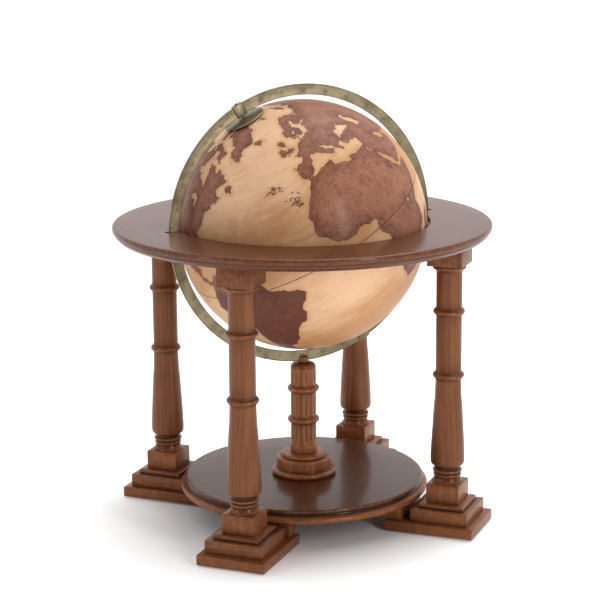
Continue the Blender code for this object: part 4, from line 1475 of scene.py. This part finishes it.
    SOUTH_AMERICA = (
        (-77.3, 8.5), (-75, 11), (-72, 12.3), (-71.5, 10.8), (-68, 11.5), (-62, 10.6), (-57, 6), (-51.5, 4),
        (-50, 0), (-44.3, -2.5), (-37, -4.8), (-34.8, -7.5), (-37, -11.5), (-39, -14), (-39.2, -18),
        (-41, -22), (-44.5, -23), (-48.5, -26), (-50, -29.5), (-53.5, -33.8), (-57, -36.5), (-58, -38.5),
        (-62.3, -39), (-65, -41), (-67.5, -46), (-65.8, -47.8), (-69, -51), (-68.5, -52.5), (-65.5, -54.8),
        (-70, -55.3), (-74, -52.5), (-75.5, -47), (-73.5, -42), (-73.5, -37), (-71.5, -30), (-70.3, -20),
        (-76, -14), (-79.5, -7), (-81.3, -5), (-80, -2.5), (-80, 0.8), (-77.5, 4), (-77.7, 7),
    )
    AUSTRALIA = (
        (113.5, -22), (114, -26.5), (115.7, -32), (118, -35), (124, -33.5), (131, -31.5), (136, -34.8),
        (140, -38), (146.5, -39), (150, -37), (153, -31), (153, -25), (146, -19), (145.3, -15),
        (142.5, -10.8), (141, -15), (139, -17.5), (135.5, -15), (136.8, -12), (130.5, -11.5), (129, -15),
        (122.2, -18),
    )
    ANTARCTICA = (
        (-180, -78), (-150, -77), (-120, -74), (-100, -72.5), (-75, -73), (-60, -64), (-60, -75), (-35, -78),
        (-15, -72), (10, -70), (40, -69), (60, -67.5), (90, -66.5), (120, -66.7), (145, -67.5), (165, -71),
        (165, -78), (180, -78), (180, -90), (-180, -90),
    )
    GREENLAND = (
        (-43.5, 60), (-48, 61), (-51.5, 64), (-53.7, 67), (-51, 69.5), (-55, 72), (-60, 76), (-70, 76.5),
        (-73, 78.2), (-65, 80.5), (-58, 82), (-45, 82.5), (-32, 83.5), (-20, 82), (-20, 79), (-19, 76),
        (-22, 73), (-22.5, 70.5), (-27, 68.4), (-34, 66.3), (-39.5, 65.4), (-42.5, 61.5),
    )
    ISLANDS = (
        ((-5.7, 50.1), (1.4, 51.2), (1.7, 52.7), (0, 53.5), (-1.6, 55.5), (-2, 57.6), (-5, 58.6), (-5.5, 56),
         (-3, 54), (-4.5, 53.2), (-5, 51.8), (-3, 51.3)),
        ((-10, 52), (-6.3, 52.3), (-6, 54.5), (-8, 55.2), (-10, 54)),
        ((-22.5, 64), (-18.5, 63.4), (-13.8, 65), (-16, 66.4), (-22.5, 66.3), (-24, 65.5)),
        ((-59, 47.6), (-53, 46.8), (-53.5, 49), (-55.7, 51.5)),
        ((-65, 61.9), (-72, 64), (-78, 65.5), (-73, 68.5), (-84, 70), (-88, 73), (-80, 73.7), (-68, 70),
         (-62, 67), (-65, 65), (-68, 63.5)),
        ((-105, 69), (-117, 70), (-118, 73), (-105, 73)),
        ((-90, 76.5), (-80, 76.3), (-77, 79), (-65, 82.7), (-75, 83), (-90, 81.5)),
        ((-84.9, 21.9), (-80, 23), (-74.3, 20.3), (-77.5, 19.9)),
        ((-74.4, 18.5), (-72, 19.9), (-68.5, 18.7), (-71.5, 17.8)),
        ((49.3, -12), (50.4, -15.5), (47, -25), (44, -25), (43.5, -21.5), (44.5, -16)),
        ((130, 33.5), (136, 36.5), (140, 40.5), (141.5, 41.4), (141, 38), (140.7, 35.5), (136, 33.7),
         (131.5, 31.3)),
        ((109, 1.5), (113, 3), (117, 7), (119, 5), (117.5, 1), (116, -4), (110.5, -3)),
        ((95.3, 5.5), (98, 4), (104, -2), (106, -5.8), (102, -4), (98.7, 1.5)),
        ((131, -1), (135, -3.3), (141, -2.7), (147, -6), (150.5, -10.5), (144, -7.8), (138, -8.3), (133, -4)),
        ((105.3, -6.7), (114.3, -7.7), (114.4, -8.6), (106.5, -7.5)),
        ((120.3, 16), (121, 18.5), (122.2, 18.4), (124, 13), (120.8, 13.8)),
        ((122, 7), (125.5, 9.7), (126.5, 7), (124, 6)),
        ((80, 9.7), (81.8, 7.5), (80.5, 6)),
        ((172.8, -34.5), (178.4, -37.7), (175, -41.5), (173, -39.3)),
        ((172.8, -40.6), (174, -42), (171, -44.5), (168.5, -46.6), (166.7, -45.8)),
        ((11, 79), (20, 80.3), (25, 79.5), (17, 76.7)),
        ((52, 71), (56, 75), (68, 77), (58, 72)),
        ((-28.3, 38.4), (-27.2, 39.0), (-26.2, 38.3)),
        ((-17.6, 28.2), (-16.5, 28.8), (-15.6, 28.1)),
    )
    LAKES = (
        ((47.5, 42), (49.5, 37.3), (53.8, 37), (53, 41), (51, 44.5), (53, 46.8), (48.5, 46), (47.5, 43)),
        ((-92, 46.7), (-84.5, 46.5), (-88, 48.8)),
        ((-87.5, 41.7), (-85.5, 45.5), (-87.8, 44)),
        ((31.8, -2.4), (34, -1.5), (33.2, 0.3), (31.8, 0)),
    )
    STROKES = (
        ((31.2, 30.2), (31.5, 26.5), (32.8, 24), (31, 21), (33.5, 17.5), (32.5, 15.6), (32, 12), (31.5, 9.5),
         (31.6, 4.8), (33, 1)),
        ((6, 4.8), (6.7, 8), (4.5, 11.5), (0, 16.5), (-3.5, 16.5), (-7, 13), (-10, 10.5)),
        ((12.5, -6), (15.5, -4.3), (17.5, 0.5), (21.5, 2), (25, 0.5), (26.5, -5), (27, -10)),
        ((36, -18.8), (32, -16), (27, -17.8), (23.5, -15), (23, -12)),
        ((17, -28.6), (20, -28.5), (24, -29), (27.5, -30)),
        ((-50, -0.5), (-55, -2), (-60, -3.2), (-65, -3), (-70, -4), (-74, -5), (-77, -9)),
        ((-58.4, -34), (-57.8, -30), (-55, -27), (-54.5, -24), (-51, -20)),
        ((-62, 9), (-65, 7.8), (-67.5, 6), (-68, 3)),
        ((-90, 29.5), (-91.2, 33), (-89.2, 37), (-91, 41), (-93, 45)),
        ((-66, 49.5), (-71, 47), (-75, 45), (-79, 43.5)),
        ((29.6, 45.2), (27, 43.8), (21, 45), (19, 47.5), (13, 48.4), (9, 48)),
        ((48, 46), (45, 49), (49, 53.5), (45, 56), (38, 58)),
        ((73, 67), (66, 63), (69, 59), (75, 55)),
        ((82, 72), (86, 66), (92, 60), (92, 55)),
        ((127, 72.5), (124, 67), (129, 62), (120, 60), (107, 55)),
        ((121.5, 31.5), (115, 30), (107, 29), (100, 28), (97, 33)),
        ((90, 23), (85, 25.5), (79, 28)),
        ((67.5, 24.2), (70, 29), (73, 33), (79, 32)),
        ((48, 30.2), (44, 33), (40, 36)),
    )

    def __init__(self) -> None:
        """Cuts the coasts into short edges for measuring distances."""
        self.land = (
            self.AFRICA, self.EURASIA, self.NORTH_AMERICA, self.SOUTH_AMERICA, self.AUSTRALIA,
            self.ANTARCTICA, self.GREENLAND, *self.ISLANDS,
        )
        self.shores = [self.edges(shape, True) for shape in (*self.land, *self.LAKES)]
        self.lines = [self.edges(shape, False) for shape in self.STROKES] + [self.pen_marks()]

    @staticmethod
    def pen_marks() -> np.ndarray:
        """Short slanting strokes of the engraver's pen round two groups of islands, as edges."""
        random = np.random.default_rng(7)
        middle = np.repeat([(-26.5, 39.4), (-18.6, 31.0)], (30, 38), axis=0)
        start = middle + random.normal(0, 1, (68, 2)) * np.repeat([(3.0, 1.3), (2.4, 1.9)], (30, 38), axis=0)
        way = random.normal(0, 1, (68, 2)) * (0.7, 0.5) + (1.3, 0.25)
        return np.stack([start, start + way], 1)

    @staticmethod
    def edges(corners: Sequence[tuple[float, float]], closed: bool, longest: float = 3.0) -> np.ndarray:
        """A run of corners cut into edges no longer than some degrees, as (edge, end, angle) numbers.

        Edges along the map's own border, at 180 degrees or at the south pole, are left out.
        """
        points = np.array([*corners, corners[0]] if closed else corners, float)
        start, end = points[:-1], points[1:]
        border = (np.abs(start[:, 0]) == 180) & (np.abs(end[:, 0]) == 180)
        border |= (start[:, 1] == -90) | (end[:, 1] == -90)
        start, end = start[~border], end[~border]
        counts = np.ceil(np.abs(end - start).max(1) / longest).astype(int)
        number = np.repeat(np.arange(len(counts)), counts)
        within = np.arange(counts.sum()) - np.repeat(np.cumsum(counts) - counts, counts)
        share = (within / counts[number])[:, None], ((within + 1) / counts[number])[:, None]
        way = (end - start)[number]
        return np.stack([start[number] + way * share[0], start[number] + way * share[1]], 1)

    @staticmethod
    def directions(angles: np.ndarray) -> np.ndarray:
        """Unit vectors of (longitude, latitude) pairs: (cos lon cos lat, sin lon cos lat, sin lat)."""
        longitude, latitude = np.radians(angles[..., 0]), np.radians(angles[..., 1])
        level = np.cos(latitude)
        return np.stack([np.cos(longitude) * level, np.sin(longitude) * level, np.sin(latitude)], -1)

    def distance(self, points: np.ndarray, edges: np.ndarray) -> np.ndarray:
        """The least angle in degrees from each unit vector to any edge.

        Within an edge's span it is the point's height over the edge's great circle, p . n with n
        the circle's unit normal; beyond it, it is the chord to the nearer end.

        Args:
            points: one unit vector a row.
            edges: (edge, end, angle) numbers.

        Returns:
            One distance a point.
        """
        a, b = self.directions(edges[:, 0]), self.directions(edges[:, 1])
        normal = np.cross(a, b)
        normal /= np.maximum(np.linalg.norm(normal, axis=1, keepdims=True), 1e-12)
        past = np.cross(normal, a), np.cross(normal, b)
        tools = [part.T.astype(np.float32) for part in (a, b, normal, *past)]
        found = []
        for block in np.array_split(points.astype(np.float32), max(1, len(points) // 12000)):
            to_a, to_b, off, past_a, past_b = (block @ tool for tool in tools)
            ends = np.sqrt(np.maximum(2 - 2 * np.maximum(to_a, to_b), 0))
            found.append(np.where((past_a > 0) & (past_b < 0), np.abs(off), ends).min(1))
        return np.degrees(np.concatenate(found).astype(float))

    @staticmethod
    def inside(angles: np.ndarray, corners: Sequence[tuple[float, float]]) -> np.ndarray:
        """Which points lie inside a shape, by counting the edges that a line eastward crosses."""
        shape = np.array(corners, float)
        found = np.zeros(len(angles), bool)
        for turn in (-360, 0, 360):
            x, y = angles[:, 0] + turn, angles[:, 1]
            low, high = shape.min(0), shape.max(0)
            near = np.flatnonzero((x >= low[0]) & (x <= high[0]) & (y >= low[1]) & (y <= high[1]))
            if not len(near):
                continue
            px, py = x[near, None], y[near, None]
            ax, ay = shape[:, 0], shape[:, 1]
            bx, by = np.roll(ax, -1), np.roll(ay, -1)
            spans = (ay > py) != (by > py)
            rise = np.where(by == ay, 1e-9, by - ay)
            crossed = spans & (px < (bx - ax) * (py - ay) / rise + ax)
            found[near] |= crossed.sum(1) % 2 == 1
        return found

    def fields(self, angles: np.ndarray) -> tuple[np.ndarray, np.ndarray]:
        """The map's two fields at (longitude, latitude) pairs.

        Args:
            angles: one pair a row, in degrees.

        Returns:
            The distance to the coast, positive on land, and the distance to the nearest pen stroke.
        """
        points = self.directions(angles)
        land = np.zeros(len(angles), bool)
        for shape in self.land:
            land |= self.inside(angles, shape)
        for shape in self.LAKES:
            land &= ~self.inside(angles, shape)
        coast = self.distance(points, np.concatenate(self.shores))
        return np.where(land, coast, -coast), self.distance(points, np.concatenate(self.lines))


@dataclass
class Globe:
    """The map-covered sphere in two halves, with a bush at each pole."""

    centre: Vector
    lean: float
    radius: float = 0.200
    wall: float = 0.003
    hole: float = 0.0058
    first_meridian: float = -84.09
    columns: int = 720
    rows: int = 117
    inner_rows: int = 9
    equator_gap: float = 0.05

    def polar(self) -> Matrix:
        """The globe's polar frame: +Z to the north pole."""
        return Matrix.Translation(self.centre) @ Matrix.Rotation(-self.lean, 4, "Y")

    def half(self, shop: Workshop, side: str, south: bool, world: WorldMap) -> None:
        """One half shell.

        Its outer rows run from the pole's hole to the equator and its inner rows back, at radius r,
        with x = r cos(turn) cos(latitude), y = r sin(turn) cos(latitude), z = r sin(latitude).
        """
        sign = -1 if south else 1
        start = math.degrees(math.acos(self.hole / self.radius))
        outer = np.linspace(start, self.equator_gap, self.rows)
        inner = np.linspace(self.equator_gap, start, self.inner_rows)
        latitude = sign * np.concatenate([outer, inner])[:, None]
        radius = np.repeat([self.radius, self.radius - self.wall], [len(outer), len(inner)])
        turn = np.linspace(0, 360, self.columns, endpoint=False)[None, :]
        angles = np.stack([turn - self.first_meridian + 0 * latitude, latitude + 0 * turn], -1)
        angles[..., 0] = (angles[..., 0] + 180) % 360 - 180
        coast, ink = world.fields(angles.reshape(-1, 2))
        local = np.stack([turn + 0 * latitude, latitude + 0 * turn], -1)
        grid = WorldMap.directions(local) * radius[:, None, None]
        surface = Surface(grid, np.zeros(grid.shape[:2]), True).moved(self.polar())
        obj = surface.object(f"map_{side}", coast=coast, ink=ink)
        paper = MapPaper(centre=self.centre, lean=self.lean, first_meridian=self.first_meridian)
        shop.fit(obj, Body.GLOBE, Slot.PAPER, paper, f"globe_{side}_half")

    def bush(self, shop: Workshop, side: str, south: bool) -> None:
        """The flanged bush in a pole's hole."""
        r = self.radius
        shape = Outline(0.0017, r + 0.0013).line((0.0080, r + 0.0013)).arc(0.0090, r + 0.0003, -90, 4)
        shape.line((0.0057, r + 0.0003), (0.0057, 0.1930), (0.0017, 0.1930))
        place = self.polar() @ Matrix.Rotation(math.pi if south else 0, 4, "X")
        surface = turned(shape.points(0.0002, closed=True), 48, closed=True)
        shop.metal(f"bush_{side}", surface, place, Body.GLOBE, Brass(), f"pole_bush_{side}")

    def build(self, shop: Workshop) -> None:
        """Makes both halves and both bushes."""
        world = WorldMap()
        for side, south in (("north", False), ("south", True)):
            self.half(shop, side, south, world)
            self.bush(shop, side, south)


# ---------------------------------------------------------------- studio
@dataclass(frozen=True)
class Softbox:
    """A rectangular area light, of this width and height in metres and this power in watts."""

    name: str
    place: tuple[float, float, float]
    size: tuple[float, float]
    power: float
    tint: Colour

    def build(self, target: Vector) -> None:
        """Hangs the light so that it faces a point."""
        light = bpy.data.lights.new(self.name, "AREA")
        light.shape, light.energy, light.color = "RECTANGLE", self.power, self.tint
        light.size, light.size_y = self.size
        obj = bpy.data.objects.new(self.name, light)
        obj.location = self.place
        obj.rotation_mode = "QUATERNION"
        obj.rotation_quaternion = (target - Vector(self.place)).to_track_quat("-Z", "Y")
        bpy.context.scene.collection.objects.link(obj)


@dataclass
class Studio:
    """A plain pale floor, soft light and the camera."""

    azimuth: float = -23.2466
    elevation: float = 13.2574
    distance: float = 3.1068
    target: tuple[float, float, float] = (0, 0, 0.3553)
    roll: float = -0.4149
    lens: float = 115.25
    sensor: float = 36
    shift: float = -0.0045
    floor_reach: float = 60.0
    sky_behind: float = 1.12
    sky_front: float = 0.10
    lit_height: float = 0.3
    softboxes: tuple[Softbox, ...] = (
        Softbox("overhead_softbox", (0.7, 0.2, 2.6), (1.6, 1.6), 30, (1.0, 0.99, 0.97)),
        Softbox("left_strip", (-2.35, -0.45, 1.0), (0.16, 1.5), 8, (1.0, 0.98, 0.96)),
        Softbox("right_softbox", (0.60, -2.45, 1.15), (0.42, 1.5), 25, (1.0, 0.95, 0.89)),
    )

    def floor(self) -> None:
        """A wide pale disc at height 0, turned from a flat profile."""
        far, under = self.floor_reach, -0.5
        profile = np.array([(0.0, 0.0), (1.0, 0.0), (6.0, 0.0), (far, 0.0), (far, under), (0.0, under)])
        obj = turned(profile, 64).object("studio_floor")
        plan = Plan("pale_floor")
        dust = plan.noise(plan.place(), 3.0, 2)
        x, y, _ = plan.parts(plan.place())
        reach = plan.math("SQRT", x * x + y * y)
        # Painted light: the floor glows, from nothing near the stand to full strength 0.44 m out.
        glow = reach.step(0.15, 0.44) * 0.46
        tint = plan.mix(dust * 0.3, (0.93, 0.95, 0.975), (0.90, 0.92, 0.95))
        white = plan.mix(glow, (0.0, 0.0, 0.0), (1.0, 1.0, 1.0))
        plan.set(Base_Color=tint, Roughness=0.75, Emission_Color=white, Emission_Strength=1.0)
        obj.data.materials.append(plan.made)

    def sky(self, tree: bpy.types.NodeTree) -> None:
        """A pale backdrop all round, and softer light from the front of the room than from behind.

        The light's strength follows how far a direction points towards the back of the room.
        """
        a = math.radians(self.azimuth)
        behind = (-math.sin(a), math.cos(a), 0.0)
        where = tree.nodes.new("ShaderNodeTexCoord").outputs["Generated"]
        reach = tree.nodes.new("ShaderNodeVectorMath")
        reach.operation = "DOT_PRODUCT"
        reach.inputs[1].default_value = behind
        fade = tree.nodes.new("ShaderNodeMapRange")
        fade.interpolation_type = "SMOOTHSTEP"
        limits = (-0.55, 0.30, self.sky_front, self.sky_behind)
        for socket, value in zip(list(fade.inputs)[1:5], limits, strict=True):
            socket.default_value = value
        tree.links.new(where, reach.inputs[0])
        tree.links.new(reach.outputs["Value"], fade.inputs[0])
        seen = tree.nodes.new("ShaderNodeLightPath").outputs["Is Camera Ray"]
        strength = tree.nodes.new("ShaderNodeMix")
        strength.inputs[3].default_value = self.sky_behind
        tree.links.new(seen, strength.inputs[0])
        tree.links.new(fade.outputs[0], strength.inputs[2])
        backdrop = tree.nodes["Background"].inputs
        backdrop["Color"].default_value = (1.0, 1.0, 1.0, 1.0)
        tree.links.new(strength.outputs[0], backdrop["Strength"])

    def camera(self) -> None:
        """The camera, turned about its own axis by a fraction of a degree."""
        a, e = math.radians(self.azimuth), math.radians(self.elevation)
        back = Vector((math.sin(a) * math.cos(e), -math.cos(a) * math.cos(e), math.sin(e)))
        lens = bpy.data.cameras.new("camera")
        lens.lens, lens.sensor_width, lens.shift_x = self.lens, self.sensor, self.shift
        lens.clip_start, lens.clip_end = 0.05, 200
        obj = bpy.data.objects.new("camera", lens)
        obj.location = Vector(self.target) + back * self.distance
        obj.rotation_mode = "QUATERNION"
        roll = Quaternion((0, 0, 1), math.radians(self.roll))
        obj.rotation_quaternion = (-back).to_track_quat("-Z", "Y") @ roll
        bpy.context.scene.collection.objects.link(obj)
        bpy.context.scene.camera = obj

    def build(self) -> None:
        """Sets the camera, the floor, the sky and the softboxes."""
        self.camera()
        self.floor()
        scene = bpy.context.scene
        scene.view_settings.view_transform = "Standard"
        world = bpy.data.worlds.new("soft_sky")
        world.use_nodes = True
        self.sky(world.node_tree)
        scene.world = world
        for softbox in self.softboxes:
            softbox.build(Vector((0, 0, self.lit_height)))


def main() -> None:
    """Builds the sub-assemblies in order and reports each piece."""
    logging.basicConfig(level=logging.INFO, format="%(message)s")
    shop = Workshop(seed=41)
    Studio().build()
    low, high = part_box("horizon_ring")
    HorizonRing(top=high.z, bottom=low.z, radius=high.x).build(shop)
    for number, degrees in enumerate(POST_ANGLES, 1):
        Post(number, degrees).build(shop)
    low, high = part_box("shelf")
    Shelf(top=high.z, low=low.z).build(shop)
    Feet().build(shop)
    low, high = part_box("meridian_ring")
    centre = (low + high) / 2
    for assembly in (Meridian, HourDial, Globe):
        assembly(centre, POLAR_LEAN).build(shop)
    numbers = range(1, 5)
    shop.repaint(Steel(), "centre_bolt", "centre_washer", *[f"post_bolt_{n}" for n in numbers])
    shop.repaint(Steel(), *[f"shelf_screw_{n}" for n in numbers])
    shop.repaint(PaleWood(), *[f"ring_dowel_{n}" for n in numbers])
    card = PaleWood(name="grey_card", pale=(0.45, 0.36, 0.25), fleck=(0.30, 0.23, 0.15), length=1.0)
    shop.repaint(card, "equator_band")
    shop.repaint(Felt(), "saddle_felt")
    LOG.info("%d pieces made", shop.count)


if __name__ == "__main__":
    main()
